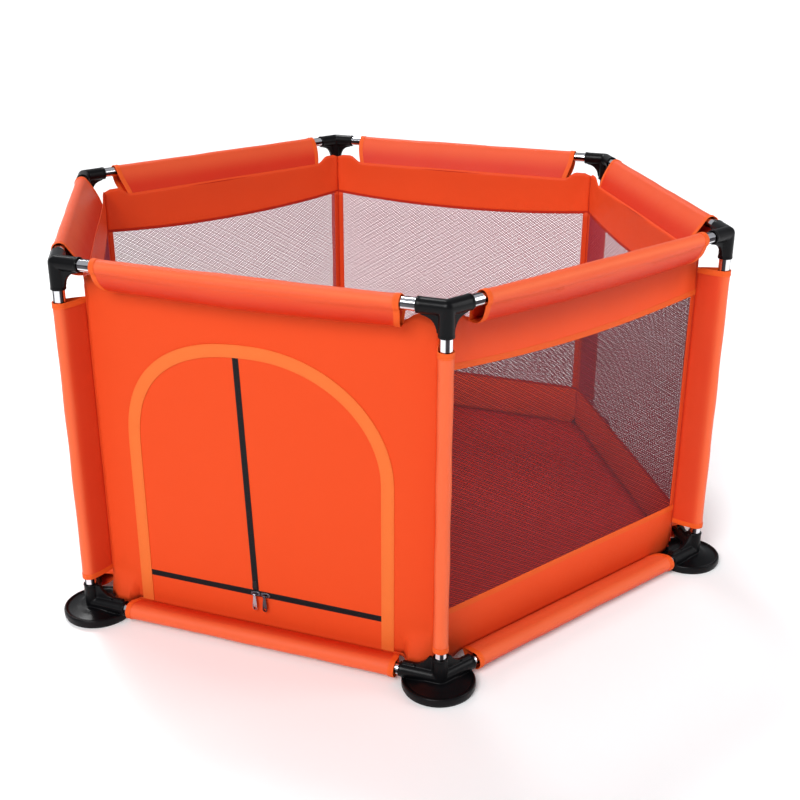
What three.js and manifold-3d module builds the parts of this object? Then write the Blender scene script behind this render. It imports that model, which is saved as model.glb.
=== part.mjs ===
// Six-sided fabric playpen on a knock-down tube frame with round feet and a zipped door.
// Millimetres, +Z up. The origin is on the floor at the middle of the pen, and the door faces -Y.
import * as THREE from 'three';
import { mergeVertices } from 'three/addons/utils/BufferGeometryUtils.js';
import Module from 'manifold-3d';

const wasm = await Module();
wasm.setup();

// Frame
const cornerCount = 6;
const sideLength = 650; // between neighbouring post axes
const frameHeight = 622; // lower rail axis to upper rail axis
const lowerRailHeight = 24; // floor to lower rail axis
const tubeDiameter = 20;
const tubeWall = 0.6;
const tubeEndGap = 0.5; // tube end to the floor of its socket
const roundSides = 16; // facets round a tube, an arm or a socket
const coreSides = 12; // facets round the core of a connector

// Corner connectors
const socketFit = 0.3; // radial gap between a tube and its socket
const socketWall = 2;
const socketFloorWall = 1.7; // solid core beyond the arm radius
const mouthRelief = 1; // how far a socket's cutter runs out past the mouth
const topArmLength = 45;
const footArmLength = 69;
const footPostLength = 38;
const webThickness = 7;
const topWebCurve = 25;
const topWebRib = 1.7; // height of the web's run-out above the arm
const footWebCurve = 32.5;
const footWebRib = 4.2;
const footWebTail = 5; // arm left bare past the end of its rib
const webSteps = 4;
const webSlotLength = 7;
const webSlotWidth = 3;

// Feet
const footRadius = 60;
const footInset = 11; // foot centre inwards of the post axis
const footRimHeight = 7;
const footRimChamfer = 2.5;
const footCrownRadius = 28;
const footCrownDrop = 5; // crown of the foot below the lower rail axis
const padThickness = 2.2;
const padInset = 1.5; // pad edge inside the foot's rim
const footSides = 24;
const layerGap = 0.3; // gap between two touching pieces

// Cover
const coverInset = 39; // side panel inwards of the rail axes
const coverDrop = 42; // upper rail axis down to the panel's top edge
const coverThickness = 1.6;
const coverFloorGap = 1.5; // cover's lower edge above the crown of the feet
const coverSeamGap = 0.4; // between neighbouring panels at a corner
const floorThickness = 1.2;
const floorEdgeGap = 0.4;
const sleeveFit = 0.6; // radial gap between a tube and the sleeve round it
const sleeveWall = 1.2;
const sleeveSides = 9;
const upperSleeveEnd = 69; // corner to the end of an upper rail sleeve
const upperSleeveSag = 9;
const lowerSleeveEnd = 76;
const lowerSleeveSag = 3;
const lowerSleeveSlack = 1.7; // extra radius of a lower sleeve, which hangs by as much
const postSleeveFootGap = 13; // foot connector to the sleeve on its post
const postSleeveHeadGap = 21;
const sagSteps = 4;
const seamLap = 1.5; // panel edge lapped into its sleeve seam
const lobeRise = 15;
const lobeSteps = 5;

// Net panels
const netThickness = 0.8;
const netLap = 1;
const upperBandDepth = 73; // at the ends of the window
const upperBandBow = 14; // extra depth at the middle
const lowerBandDepth = 91;
const sideHem = 12;
const bowSteps = 6;

// Door
const archCentre = -6; // middle of the arch, sideways from the middle of the panel
const archInnerHalf = 216;
const archHead = 94; // panel's top edge down to the inside of the arch
const archRise = 183; // springing line up to the inside of the arch
const archSteps = 14;
const bindingWidth = 22;
const bindingThickness = 1.2;
const bindingFootGap = 6; // lower end of the binding above the cover's lower edge
const zipTuck = 2; // zip ends inside the binding's inner edge
const zipHeight = 63.5; // floor zip above the cover's lower edge
const zipHeadShift = -30; // top of the upright zip, sideways from the arch's middle
const zipFootShift = -13;
const zipSlot = 2; // between the two halves of a zip
const beadWidth = 3.2;
const beadThickness = 2.4;
const beadEnd = 24; // a zip's end to the end of its teeth
const flapHingeGap = 0.5;
const flapCornerTrim = 15; // along the fold, at both of its ends

// Zip sliders and their pulls
const sliderLength = 18;
const sliderWidth = 11;
const sliderPlate = 1.6;
const sliderFit = 0.4; // plate to the teeth
const sliderPark = 1.2; // around a parked slider
const parkShift = 9; // middle of the parked floor sliders, sideways from the upright zip's foot
const headLength = 3; // the post between the plates
const headThickness = 1.2;
const headInset = 3.5; // from the leading end
const barRadius = 0.9;
const barStandoff = 3.2; // bar axis above the plate
const barSides = 8;
const legLength = 3;
const legWidth = 1.6;
const pullFit = 0.4;
const pullNeck = 5;
const pullEyeWall = 1.2;
const pullWidth = 9;
const pullThickness = 1.4;
const pullLength = 30;
const pullShoulder = 8;
const pullHoleRadius = 2.6;

// Worked out from the sizes above
const tubeRadius = tubeDiameter / 2;
const socketRadius = tubeRadius + socketFit;
const armRadius = socketRadius + socketWall;
const sleeveGrip = tubeRadius + sleeveFit + sleeveWall; // outer radius of a sleeve round its tube
const socketFloor = armRadius + socketFloorWall;
const upperRailHeight = lowerRailHeight + frameHeight;
const apothem = (sideLength / 2) / Math.tan(Math.PI / cornerCount);
const postDistance = (sideLength / 2) / Math.sin(Math.PI / cornerCount);
const footBottom = padThickness + layerGap;
const footCrown = lowerRailHeight - footCrownDrop;
const coverY = coverInset - apothem; // mid-plane of a side panel, inwards positive
const coverOut = coverY - coverThickness / 2;
const coverIn = coverY + coverThickness / 2;
const coverBottom = footCrown + coverFloorGap;
const coverTop = upperRailHeight - coverDrop;
const coverHalf = -coverIn * Math.tan(Math.PI / cornerCount) - coverSeamGap;
const upperSleeveHalf = sideLength / 2 - upperSleeveEnd;
const lowerSleeveHalf = sideLength / 2 - lowerSleeveEnd;
const archTop = coverTop - archHead;
const archSpring = archTop - archRise;
const zipZ = coverBottom + zipHeight;
const zipJunction = new THREE.Vector2(archCentre + zipFootShift, zipZ);
const zipHead = new THREE.Vector2(archCentre + zipHeadShift, archTop - zipTuck);
const zipEndLeft = new THREE.Vector2(archCentre - archInnerHalf + zipTuck, zipZ);
const zipEndRight = new THREE.Vector2(archCentre + archInnerHalf - zipTuck, zipZ);
const plateInner = beadThickness / 2 + sliderFit;
const barDistance = plateInner + sliderPlate + barStandoff;
const eyeRadius = barRadius + pullFit;
const parkX = zipJunction.x + parkShift;
const parkAcross = sliderLength + sliderPark; // half the two parked sliders' footprint
const parkUp = sliderWidth / 2 + sliderPark;
const uprightSliderZ = zipZ + parkUp + sliderPark / 4 + sliderLength / 2;
const floorSliderShift = sliderLength / 2 + sliderPark / 4;

// Colours and finishes
const finish = (color, roughness, metalness) =>
  new THREE.MeshStandardMaterial({ color, roughness, metalness });
const orangeFabric = finish(0xfc5a2c, 0.62, 0);
const bindingFabric = finish(0xff7e3a, 0.6, 0);
const blackPlastic = finish(0x111113, 0.28, 0);
const blackRubber = finish(0x0b0b0c, 0.8, 0);
const polishedSteel = finish(0xd8dade, 0.14, 1);
const zincAlloy = finish(0xa9abb4, 0.3, 1);
const floorFabric = finish(0xc8281a, 0.7, 0);

// ---- Geometry helpers ----

// A closed geometry as a manifold solid, without the zero-area triangles at a pole.
function toSolid(geometry) {
  const bare = geometry.clone();
  bare.deleteAttribute('normal');
  bare.deleteAttribute('uv');
  const merged = mergeVertices(bare, 1e-4);
  const corners = merged.index.array;
  const kept = [];
  for (let i = 0; i < corners.length; i += 3) {
    const [a, b, c] = corners.slice(i, i + 3);
    if (a !== b && b !== c && c !== a) kept.push(a, b, c);
  }
  return new wasm.Manifold(new wasm.Mesh({
    numProp: 3,
    vertProperties: new Float32Array(merged.attributes.position.array),
    triVerts: new Uint32Array(kept),
  }));
}

function toGeometry(solid) {
  const { vertProperties, triVerts } = solid.getMesh();
  const geometry = new THREE.BufferGeometry();
  geometry.setAttribute('position', new THREE.BufferAttribute(vertProperties, 3));
  geometry.setIndex(new THREE.BufferAttribute(triVerts, 1));
  geometry.computeVertexNormals();
  return geometry;
}

// The geometries joined into one body, with the cutters taken out of it.
function joined(pieces, cutters = []) {
  let solid = toSolid(pieces[0]);
  for (const piece of pieces.slice(1)) solid = solid.add(toSolid(piece));
  for (const cutter of cutters) solid = solid.subtract(toSolid(cutter));
  return toGeometry(solid);
}

function box(size, centre) {
  return new THREE.BoxGeometry(...size).translate(...centre);
}

// Points of a circle's polygon, for a shape or a hole.
function circle(radius, sides, x = 0, y = 0) {
  return Array.from({ length: sides }, (_, i) => {
    const angle = (2 * Math.PI * i) / sides;
    return new THREE.Vector2(x + radius * Math.cos(angle), y + radius * Math.sin(angle));
  });
}

function shapeOf(outline, ...holes) {
  const shape = new THREE.Shape(outline);
  shape.holes = holes.map((hole) => new THREE.Path(hole));
  return shape;
}

function extrude(shape, depth) {
  return new THREE.ExtrudeGeometry(shape, { depth, bevelEnabled: false });
}

// A shape drawn in (X, Z), given a thickness from outerY to innerY.
function slab(shape, outerY, innerY) {
  return extrude(shape, innerY - outerY).rotateX(Math.PI / 2).translate(0, innerY, 0);
}

// A shape drawn in (Y, Z), run along X from -half to half.
function run(shape, half) {
  const turn = new THREE.Matrix4().makeBasis(
    new THREE.Vector3(0, 1, 0), new THREE.Vector3(0, 0, 1), new THREE.Vector3(1, 0, 0));
  return extrude(shape, 2 * half).applyMatrix4(turn).translate(-half, 0, 0);
}

// A rod from start to start + length along the unit vector.
function rod(radius, start, length, direction, sides = roundSides) {
  const middle = direction.clone().multiplyScalar(start + length / 2);
  const turn = new THREE.Quaternion().setFromUnitVectors(new THREE.Vector3(0, 1, 0), direction);
  return new THREE.CylinderGeometry(radius, radius, length, sides)
    .applyQuaternion(turn).translate(middle.x, middle.y, middle.z);
}

function tube(length) {
  const bore = circle(tubeRadius - tubeWall, roundSides);
  return extrude(shapeOf(circle(tubeRadius, roundSides), bore), length);
}

const add = (group, name, geometry, material) => {
  const mesh = new THREE.Mesh(geometry, material);
  mesh.name = name;
  group.add(mesh);
  return mesh;
};

// ---- Corner connectors, tubes and feet ----

// The two rail arms leave a corner 120 degrees to either side of its outward radius.
const armTurn = Math.PI / 2 + Math.PI / cornerCount;
const armDirections = [-armTurn, armTurn].map((a) => new THREE.Vector3(Math.cos(a), Math.sin(a), 0));

// A web between a rail arm and the post arm: two straight legs and a concave quarter circle.
function webShape(reach, curve, runOut, top) {
  const points = [[0, 0], [runOut, 0], [runOut, reach - curve]].map(([x, y]) => new THREE.Vector2(x, y));
  const sweep = Math.PI / 2 - Math.asin(Math.max(0, (reach - top) / curve));
  for (let i = 0; i <= webSteps; i++) {
    const angle = -Math.PI / 2 - (sweep * i) / webSteps;
    points.push(new THREE.Vector2(reach + curve * Math.cos(angle), reach + curve * Math.sin(angle)));
  }
  points.push(new THREE.Vector2(0, Math.min(top, reach)));
  return new THREE.Shape(points);
}

// A web's shape stood up along an arm, towards +Z or -Z.
function web(shape, direction, up) {
  const rise = new THREE.Vector3(0, 0, up);
  const across = direction.clone().cross(rise);
  const turn = new THREE.Matrix4().makeBasis(direction, rise, across);
  return extrude(shape, webThickness).translate(0, 0, -webThickness / 2).applyMatrix4(turn);
}

// A three-way connector: a round core, two rail arms, a post arm and two webs, with open sockets.
function connector(armLength, postLength, up, shape, extras = []) {
  const postDirection = new THREE.Vector3(0, 0, up);
  const arms = [...armDirections.map((d) => [d, armLength]), [postDirection, postLength]];
  const core = new THREE.SphereGeometry(armRadius, coreSides, coreSides / 2).rotateX(Math.PI / 2);
  const pieces = [core, ...arms.map(([d, length]) => rod(armRadius, 0, length, d))];
  pieces.push(...armDirections.map((d) => web(shape, d, up)), ...extras);
  const sockets = arms.map(([d, length]) =>
    rod(socketRadius, socketFloor, length + mouthRelief - socketFloor, d));
  return joined(pieces, sockets);
}

function topConnector() {
  const reach = armRadius + topWebRib + topWebCurve;
  return connector(topArmLength, topArmLength, -1, webShape(reach, topWebCurve, reach, reach));
}

function footDisc() {
  const low = footBottom - lowerRailHeight;
  const profile = [
    [0, low], [footRadius, low], [footRadius, low + footRimHeight],
    [footRadius - footRimChamfer, low + footRimHeight + footRimChamfer],
    [footCrownRadius, footCrown - lowerRailHeight], [0, footCrown - lowerRailHeight],
  ].map(([r, z]) => new THREE.Vector2(r, z));
  return new THREE.LatheGeometry(profile, footSides).rotateX(Math.PI / 2).translate(-footInset, 0, 0);
}

function footConnector() {
  const reach = armRadius + footWebRib + footWebCurve;
  const shape = webShape(reach, footWebCurve, footArmLength - footWebTail, footPostLength);
  const slotZ = armRadius + webSlotWidth / 2;
  const slotX = reach - webSlotLength;
  shape.holes = [new THREE.Path([
    [slotX - webSlotLength / 2, slotZ], [slotX, slotZ - webSlotWidth / 2],
    [slotX + webSlotLength / 2, slotZ], [slotX, slotZ + webSlotWidth / 2],
  ].map(([x, z]) => new THREE.Vector2(x, z)))];
  return connector(footArmLength, footPostLength, 1, shape, [footDisc()]);
}

function footPad() {
  const pad = extrude(shapeOf(circle(footRadius - padInset, footSides)), padThickness);
  return pad.translate(-footInset, 0, 0);
}

// ---- Cover: sleeves and side panels ----

// A sleeve's section round a tube at the origin: a wide arc over the tube and two sides that
// meet at the tip, the first of them bowed out by sag. The hole is the same outline, smaller.
function sleeveShape(tip, sag, grip = sleeveGrip) {
  const toTip = Math.atan2(tip.y, tip.x);
  const tangent = Math.acos(grip / tip.length());
  const outline = [];
  for (let i = 0; i <= sleeveSides; i++) {
    const angle = toTip + tangent + ((2 * Math.PI - 2 * tangent) * i) / sleeveSides;
    outline.push(new THREE.Vector2(Math.cos(angle), Math.sin(angle)).multiplyScalar(grip));
  }
  const last = outline[outline.length - 1];
  const side = tip.clone().sub(last);
  const outwards = new THREE.Vector2(side.y, -side.x).normalize();
  for (let i = 1; i < sagSteps; i++) {
    const t = i / sagSteps;
    outline.push(last.clone().addScaledVector(side, t).addScaledVector(outwards, 4 * sag * t * (1 - t)));
  }
  outline.push(tip);
  const inner = (grip - sleeveWall) / grip;
  return shapeOf(outline, outline.map((p) => p.clone().multiplyScalar(inner)));
}

function upperSleeve() {
  const shape = sleeveShape(new THREE.Vector2(coverInset, -coverDrop), upperSleeveSag);
  return run(shape, upperSleeveHalf).translate(0, -apothem, upperRailHeight);
}

function lowerSleeve() {
  const middle = lowerRailHeight - lowerSleeveSlack;
  const tip = new THREE.Vector2(coverInset, coverBottom + seamLap - middle);
  const shape = sleeveShape(tip, lowerSleeveSag, sleeveGrip + lowerSleeveSlack);
  return run(shape, lowerSleeveHalf).translate(0, -apothem, middle);
}

function postSleeve() {
  const coverCorner = -coverOut / Math.cos(Math.PI / cornerCount);
  const tip = new THREE.Vector2(coverCorner + coverSeamGap - postDistance, 0);
  const low = lowerRailHeight + footPostLength + postSleeveFootGap;
  const high = upperRailHeight - topArmLength - postSleeveHeadGap;
  return extrude(sleeveShape(tip, 0), high - low).translate(0, 0, low);
}

// A side panel's outline in (X, Z): straight between the sleeve ends, with a lobe at each corner.
function panelOutline() {
  const lobeStart = upperSleeveHalf;
  const top = coverTop + seamLap;
  const lobe = Array.from({ length: lobeSteps + 1 }, (_, i) => {
    const t = i / lobeSteps;
    return new THREE.Vector2(coverHalf - (coverHalf - lobeStart) * t, top + lobeRise * Math.sin(Math.PI * t));
  });
  const mirrored = lobe.map((p) => new THREE.Vector2(-p.x, p.y)).reverse();
  const foot = [-coverHalf, coverHalf].map((x) => new THREE.Vector2(x, coverBottom));
  return [...foot, ...lobe, ...mirrored];
}

// The net window's outline, grown by lap: straight sides and foot, and a head that bows down.
function windowOutline(lap) {
  const half = coverHalf - sideHem + lap;
  const low = coverBottom + lowerBandDepth - lap;
  const points = [new THREE.Vector2(-half, low), new THREE.Vector2(half, low)];
  for (let i = 0; i <= bowSteps; i++) {
    const x = half * (1 - (2 * i) / bowSteps);
    const bow = upperBandBow * (1 - (x / half) ** 2);
    points.push(new THREE.Vector2(x, coverTop - upperBandDepth - bow + lap));
  }
  return points;
}

function meshPanel() {
  const bands = slab(shapeOf(panelOutline(), windowOutline(0)), coverOut, coverIn);
  const net = slab(shapeOf(windowOutline(netLap)), coverY - netThickness / 2, coverY + netThickness / 2);
  return joined([bands, net, upperSleeve(), lowerSleeve()]);
}

function floorSheet() {
  const radius = (-coverIn - floorEdgeGap) / Math.cos(Math.PI / cornerCount);
  return extrude(shapeOf(circle(radius, cornerCount)), floorThickness).translate(0, 0, coverBottom);
}

// ---- Door ----

function bead(outline) {
  return slab(shapeOf(outline), coverY - beadThickness / 2, coverY + beadThickness / 2);
}

// The point where the lines a + u*t and b + v*t cross.
function crossing(a, u, b, v) {
  const t = b.clone().sub(a).cross(v) / u.cross(v);
  return a.clone().addScaledVector(u, t);
}

function doorPanel() {
  const lip = new THREE.Vector2(0, -zipSlot / 2 - beadWidth / 2);
  const hole = [zipEndLeft.clone().add(lip), zipEndRight.clone().add(lip), zipEndRight, zipHead, zipEndLeft];
  const low = zipZ - zipSlot / 2 - beadWidth;
  const high = low + beadWidth;
  const teeth = [[zipEndLeft.x, low], [zipEndRight.x, low], [zipEndRight.x, high], [zipEndLeft.x, high]];
  return joined([
    slab(shapeOf(panelOutline(), hole), coverOut, coverIn),
    bead(teeth.map(([x, z]) => new THREE.Vector2(x, z))),
    upperSleeve(), lowerSleeve(),
  ]);
}

// The arch's curved head, from its left springing to its right, half-width and rise given.
function archHeadPoints(half, rise) {
  return Array.from({ length: archSteps + 1 }, (_, i) => {
    const angle = Math.PI * (1 - i / archSteps);
    return new THREE.Vector2(archCentre + half * Math.cos(angle), archSpring + rise * Math.sin(angle));
  });
}

function archBinding() {
  const foot = coverBottom + bindingFootGap;
  const outerHalf = archInnerHalf + bindingWidth;
  const leg = (x) => new THREE.Vector2(archCentre + x, foot);
  const outline = [
    leg(-outerHalf), ...archHeadPoints(outerHalf, archRise + bindingWidth), leg(outerHalf),
    leg(archInnerHalf), ...archHeadPoints(archInnerHalf, archRise).reverse(), leg(-archInnerHalf),
  ];
  const back = coverOut - layerGap;
  return slab(shapeOf(outline), back - bindingThickness, back);
}

// A door flap: the triangle between the upright zip, the floor zip and the fold, trimmed at both
// ends of the fold and cut back round the parked sliders. side is -1 for the left, 1 for the right.
function doorFlap(side) {
  const zipEnd = side < 0 ? zipEndLeft : zipEndRight;
  const upright = zipHead.clone().sub(zipJunction).normalize();
  const outwards = new THREE.Vector2(side * upright.y, -side * upright.x); // from the upright zip
  const fold = zipHead.clone().sub(zipEnd).normalize();
  const inwards = new THREE.Vector2(-side * fold.y, side * fold.x);
  const level = new THREE.Vector2(1, 0);
  const foldStart = zipEnd.clone().addScaledVector(inwards, flapHingeGap);
  const beside = (distance) => zipJunction.clone().addScaledVector(outwards, distance);
  const atHeight = (distance, z) => crossing(beside(distance), upright, new THREE.Vector2(0, z), level);
  const low = zipZ + zipSlot / 2;
  const headZ = zipHead.y - beadEnd;
  const endX = zipEnd.x - side * beadEnd;
  const parkEnd = parkX + side * parkAcross;
  const uprightTop = uprightSliderZ + sliderLength / 2 + sliderPark;
  const clear = sliderWidth / 2 + sliderPark;
  const outline = [
    foldStart.clone().addScaledVector(fold, flapCornerTrim),
    new THREE.Vector2(endX, low),
    new THREE.Vector2(parkEnd, low), new THREE.Vector2(parkEnd, zipZ + parkUp),
    atHeight(clear, zipZ + parkUp), atHeight(clear, uprightTop), atHeight(zipSlot / 2, uprightTop),
    atHeight(zipSlot / 2, headZ),
    crossing(foldStart, fold, new THREE.Vector2(0, zipHead.y - flapCornerTrim), level),
  ];
  const floorTeeth = [[endX, low], [parkEnd, low], [parkEnd, low + beadWidth], [endX, low + beadWidth]];
  const uprightTeeth = [
    atHeight(zipSlot / 2, uprightTop), atHeight(zipSlot / 2 + beadWidth, uprightTop),
    atHeight(zipSlot / 2 + beadWidth, headZ), atHeight(zipSlot / 2, headZ),
  ];
  return joined([
    slab(shapeOf(outline), coverOut, coverIn),
    bead(floorTeeth.map(([x, z]) => new THREE.Vector2(x, z))),
    bead(uprightTeeth),
  ]);
}

// ---- Zip sliders and pulls, each drawn about its own middle in the zip's plane ----

// Two plates on a post, with a staple for the pull. facing is -1 when the pull hangs outside.
function zipSlider(across, height, headX, headZ, facing) {
  const plateY = plateInner + sliderPlate / 2;
  const upright = height > across;
  const legX = pullNeck / 2 + pullFit + legWidth / 2;
  const legTop = barDistance + barRadius;
  const legLow = plateInner + sliderPlate / 2;
  const legs = [-legX, legX].map((x) => (
    box([legWidth, legTop - legLow, legLength], [x, (facing * (legTop + legLow)) / 2, 0])));
  const head = upright ? [headThickness, headLength] : [headLength, headThickness];
  const bar = rod(barRadius, -legX, 2 * legX, new THREE.Vector3(1, 0, 0), barSides);
  return joined([
    box([across, sliderPlate, height], [0, plateY, 0]),
    box([across, sliderPlate, height], [0, -plateY, 0]),
    box([head[0], 2 * plateY, head[1]], [headX, 0, headZ]),
    ...legs,
    bar.translate(0, facing * barDistance, 0),
  ]);
}

// A pull that hangs down from its eye at the origin.
function zipPull() {
  const half = pullWidth / 2;
  const neck = pullNeck / 2;
  const end = pullLength - half;
  const step = half - neck;
  const outline = [[-neck, -eyeRadius], [-neck, -pullShoulder], [-half, -pullShoulder - step]];
  for (let i = 0; i <= barSides; i++) {
    const angle = Math.PI + (Math.PI * i) / barSides;
    outline.push([half * Math.cos(angle), -end + half * Math.sin(angle)]);
  }
  outline.push([half, -pullShoulder - step], [neck, -pullShoulder], [neck, -eyeRadius]);
  const hole = circle(pullHoleRadius, barSides, 0, -end);
  const shape = shapeOf(outline.map(([x, z]) => new THREE.Vector2(x, z)), hole);
  const along = new THREE.Vector3(1, 0, 0);
  const eye = rod(eyeRadius + pullEyeWall, -neck, pullNeck, along);
  return joined(
    [slab(shape, -pullThickness / 2, pullThickness / 2), eye],
    [rod(eyeRadius, -neck - mouthRelief, pullNeck + 2 * mouthRelief, along)],
  );
}

// ---- Assembly ----

const playpen = new THREE.Group();
const railHalf = sideLength / 2 - socketFloor - tubeEndGap;

for (let i = 0; i < cornerCount; i++) {
  const number = i + 1;
  const corner = new THREE.Group();
  const angle = (2 * Math.PI * (i - 1)) / cornerCount;
  corner.rotation.z = angle;
  corner.position.set(postDistance * Math.cos(angle), postDistance * Math.sin(angle), 0);
  add(corner, `top_connector_${number}`, topConnector(), blackPlastic).position.z = upperRailHeight;
  add(corner, `foot_connector_${number}`, footConnector(), blackPlastic).position.z = lowerRailHeight;
  add(corner, `foot_pad_${number}`, footPad(), blackRubber);
  const postStart = socketFloor + tubeEndGap;
  add(corner, `post_${number}`, tube(frameHeight - 2 * postStart), polishedSteel)
    .position.z = lowerRailHeight + postStart;
  add(corner, `post_sleeve_${number}`, postSleeve(), orangeFabric);
  playpen.add(corner);
}

for (let i = 0; i < cornerCount; i++) {
  const number = i + 1;
  const side = new THREE.Group();
  side.rotation.z = (2 * Math.PI * i) / cornerCount;
  for (const [name, height] of [['top_rail', upperRailHeight], ['bottom_rail', lowerRailHeight]]) {
    const rail = add(side, `${name}_${number}`, tube(2 * railHalf), polishedSteel);
    rail.rotation.y = Math.PI / 2;
    rail.position.set(-railHalf, -apothem, height);
  }
  if (i === 0) add(side, 'door_panel', doorPanel(), orangeFabric);
  else add(side, `mesh_panel_${number}`, meshPanel(), orangeFabric);
  playpen.add(side);
}

add(playpen, 'floor_sheet', floorSheet(), floorFabric);
add(playpen, 'door_arch_binding', archBinding(), bindingFabric);
add(playpen, 'door_flap_left', doorFlap(-1), orangeFabric);
add(playpen, 'door_flap_right', doorFlap(1), orangeFabric);

const headShift = sliderLength / 2 - headInset;
const uprightAlong = (uprightSliderZ - zipJunction.y) / (zipHead.y - zipJunction.y);
const uprightX = zipJunction.x + uprightAlong * (zipHead.x - zipJunction.x);
const sliders = [
  ['left', sliderLength, sliderWidth, headShift, 0, -1, parkX - floorSliderShift, zipZ],
  ['right', sliderLength, sliderWidth, -headShift, 0, -1, parkX + floorSliderShift, zipZ],
  ['upright', sliderWidth, sliderLength, 0, -headShift, 1, uprightX, uprightSliderZ],
];
for (const [name, across, height, headX, headZ, facing, x, z] of sliders) {
  const slider = zipSlider(across, height, headX, headZ, facing);
  add(playpen, `zip_slider_${name}`, slider, zincAlloy).position.set(x, coverY, z);
  add(playpen, `zip_pull_${name}`, zipPull(), zincAlloy).position.set(x, coverY + facing * barDistance, z);
}

export default playpen;
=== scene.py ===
"""Looks for a six-sided fabric playpen: sewn cover, net windows, zipped door, moulded corners, steel tubes.

Metres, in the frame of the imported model. Every size is a driving value below or comes from that model.
A side is drawn once as side 1, the door's, and turned into place; a corner is drawn about its post's axis.
"""

import math

import bmesh
import bpy
import numpy as np
from mathutils import Matrix, Vector


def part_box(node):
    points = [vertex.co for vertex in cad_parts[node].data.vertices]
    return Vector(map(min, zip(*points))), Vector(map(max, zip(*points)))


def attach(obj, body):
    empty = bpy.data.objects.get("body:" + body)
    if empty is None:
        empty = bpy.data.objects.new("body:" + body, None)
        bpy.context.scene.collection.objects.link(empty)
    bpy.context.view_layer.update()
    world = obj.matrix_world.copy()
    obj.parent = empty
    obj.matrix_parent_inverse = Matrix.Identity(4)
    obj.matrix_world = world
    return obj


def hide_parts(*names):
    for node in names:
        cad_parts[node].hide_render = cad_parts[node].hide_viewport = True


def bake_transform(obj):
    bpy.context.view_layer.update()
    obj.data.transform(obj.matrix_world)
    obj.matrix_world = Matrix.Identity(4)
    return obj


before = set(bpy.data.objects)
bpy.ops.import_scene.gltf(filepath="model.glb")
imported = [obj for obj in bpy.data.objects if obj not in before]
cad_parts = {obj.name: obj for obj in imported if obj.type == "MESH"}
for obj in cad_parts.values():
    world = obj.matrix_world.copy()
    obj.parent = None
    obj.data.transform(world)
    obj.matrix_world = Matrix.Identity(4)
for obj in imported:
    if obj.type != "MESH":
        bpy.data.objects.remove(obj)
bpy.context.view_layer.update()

# ---- Sizes that come from the frame ----

SIDES = 6
STEP = 2 * math.pi / SIDES
rail_low, rail_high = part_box("top_rail_1")
lower_low, lower_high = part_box("bottom_rail_1")
post_low, post_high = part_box("post_2")
binding_low, binding_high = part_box("door_arch_binding")
flap_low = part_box("door_flap_left")[0]
floor_low, floor_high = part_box("floor_sheet")
sleeve_low, sleeve_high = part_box("post_sleeve_2")
pad_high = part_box("foot_pad_2")[1]
foot_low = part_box("foot_connector_2")[0]

TUBE = (rail_high.z - rail_low.z) / 2  # outer radius
UPPER = (rail_high.z + rail_low.z) / 2  # upper rail axis above the floor
LOWER = (lower_high.z + lower_low.z) / 2
APOTHEM = -(rail_high.y + rail_low.y) / 2  # rail axis from the middle of the pen
SIDE = 2 * APOTHEM * math.tan(STEP / 2)
REACH = SIDE  # post axis from the middle of the pen, as in any regular hexagon
INSET = 0.039  # cover's cloth inwards of the rail axes
PANEL_Y = INSET - APOTHEM
PANEL_HALF = (APOTHEM - INSET) * math.tan(STEP / 2)
PANEL_LOW = floor_low.z
PANEL_TOP = UPPER - 0.042  # where the cloth meets its upper sleeve
COVER_REACH = (APOTHEM - INSET) / math.cos(STEP / 2)  # cover's corner from the middle of the pen
UPPER_HALF = SIDE / 2 - 0.069  # half the length of an upper sleeve
LOWER_HALF = SIDE / 2 - 0.076
ARCH_X = (binding_low.x + binding_high.x) / 2
BINDING = 0.022
ARCH_HALF = (binding_high.x - binding_low.x) / 2 - BINDING  # inside of the arch
ARCH_TOP = binding_high.z - BINDING
ARCH_RISE = 0.183  # springing line to the inside of the arch
ARCH_SPRING = ARCH_TOP - ARCH_RISE
ZIP_Z = flap_low.z - 0.001
ZIP_LEFT = np.array([ARCH_X - ARCH_HALF + 0.002, ZIP_Z])
ZIP_RIGHT = np.array([ARCH_X + ARCH_HALF - 0.002, ZIP_Z])
ZIP_HEAD = np.array([ARCH_X - 0.030, ARCH_TOP - 0.002])
ZIP_FOOT = np.array([ARCH_X - 0.013, ZIP_Z])
PIVOT_OUT = 0.0064  # a pull's bar from the cloth's mid-plane

# ---- Sizes of the sewn and moulded detail ----

MM = 0.001
CLOTH = 0.9 * MM
GRIP = 11.4 * MM  # mid-line of a sleeve's cloth round its tube
LOWER_SLACK = 1.7 * MM
TAPE = 9 * MM  # binding along a hem
BAND_DEPTH = 74 * MM
BAND_BOW = 14 * MM
LOWER_BAND = 91 * MM
SIDE_HEM = 12 * MM
LOBE = 15 * MM
MOUTH_SLANT = 12 * MM  # how much shorter a sleeve is at its seam than over its tube
HEM_NOSE = 0.9 * MM  # how far a hem's tape stands past the cloth's edge
HEM_HALF = 0.75 * MM  # half its thickness
NET_PITCH = 3.3 * MM
NET_YARN = 1.22 * MM
NET_UNEVEN = 0.12  # of a pitch
STITCH_PITCH = 3.4 * MM
ZIP_PITCH = 2.2 * MM
UNDER_TAPE = 6 * MM  # how far the door's cloth reaches under the arch binding
FOLD_WIDTH = 24 * MM  # strip of a leaf that bends when it is folded
ZIP_PAST = 5 * MM  # how far the floor zip runs past the arch's inside

# ---- Camera ----

CAMERA_PLACE = (0.8183, -2.0976, 1.1747)
CAMERA_YAW = math.radians(-20.155)  # from +Y towards +X
CAMERA_PITCH = math.radians(-22.567)
CAMERA_ROLL = math.radians(0.185)
CAMERA_LENS = 54.1  # mm on a 36 mm sensor


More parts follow.
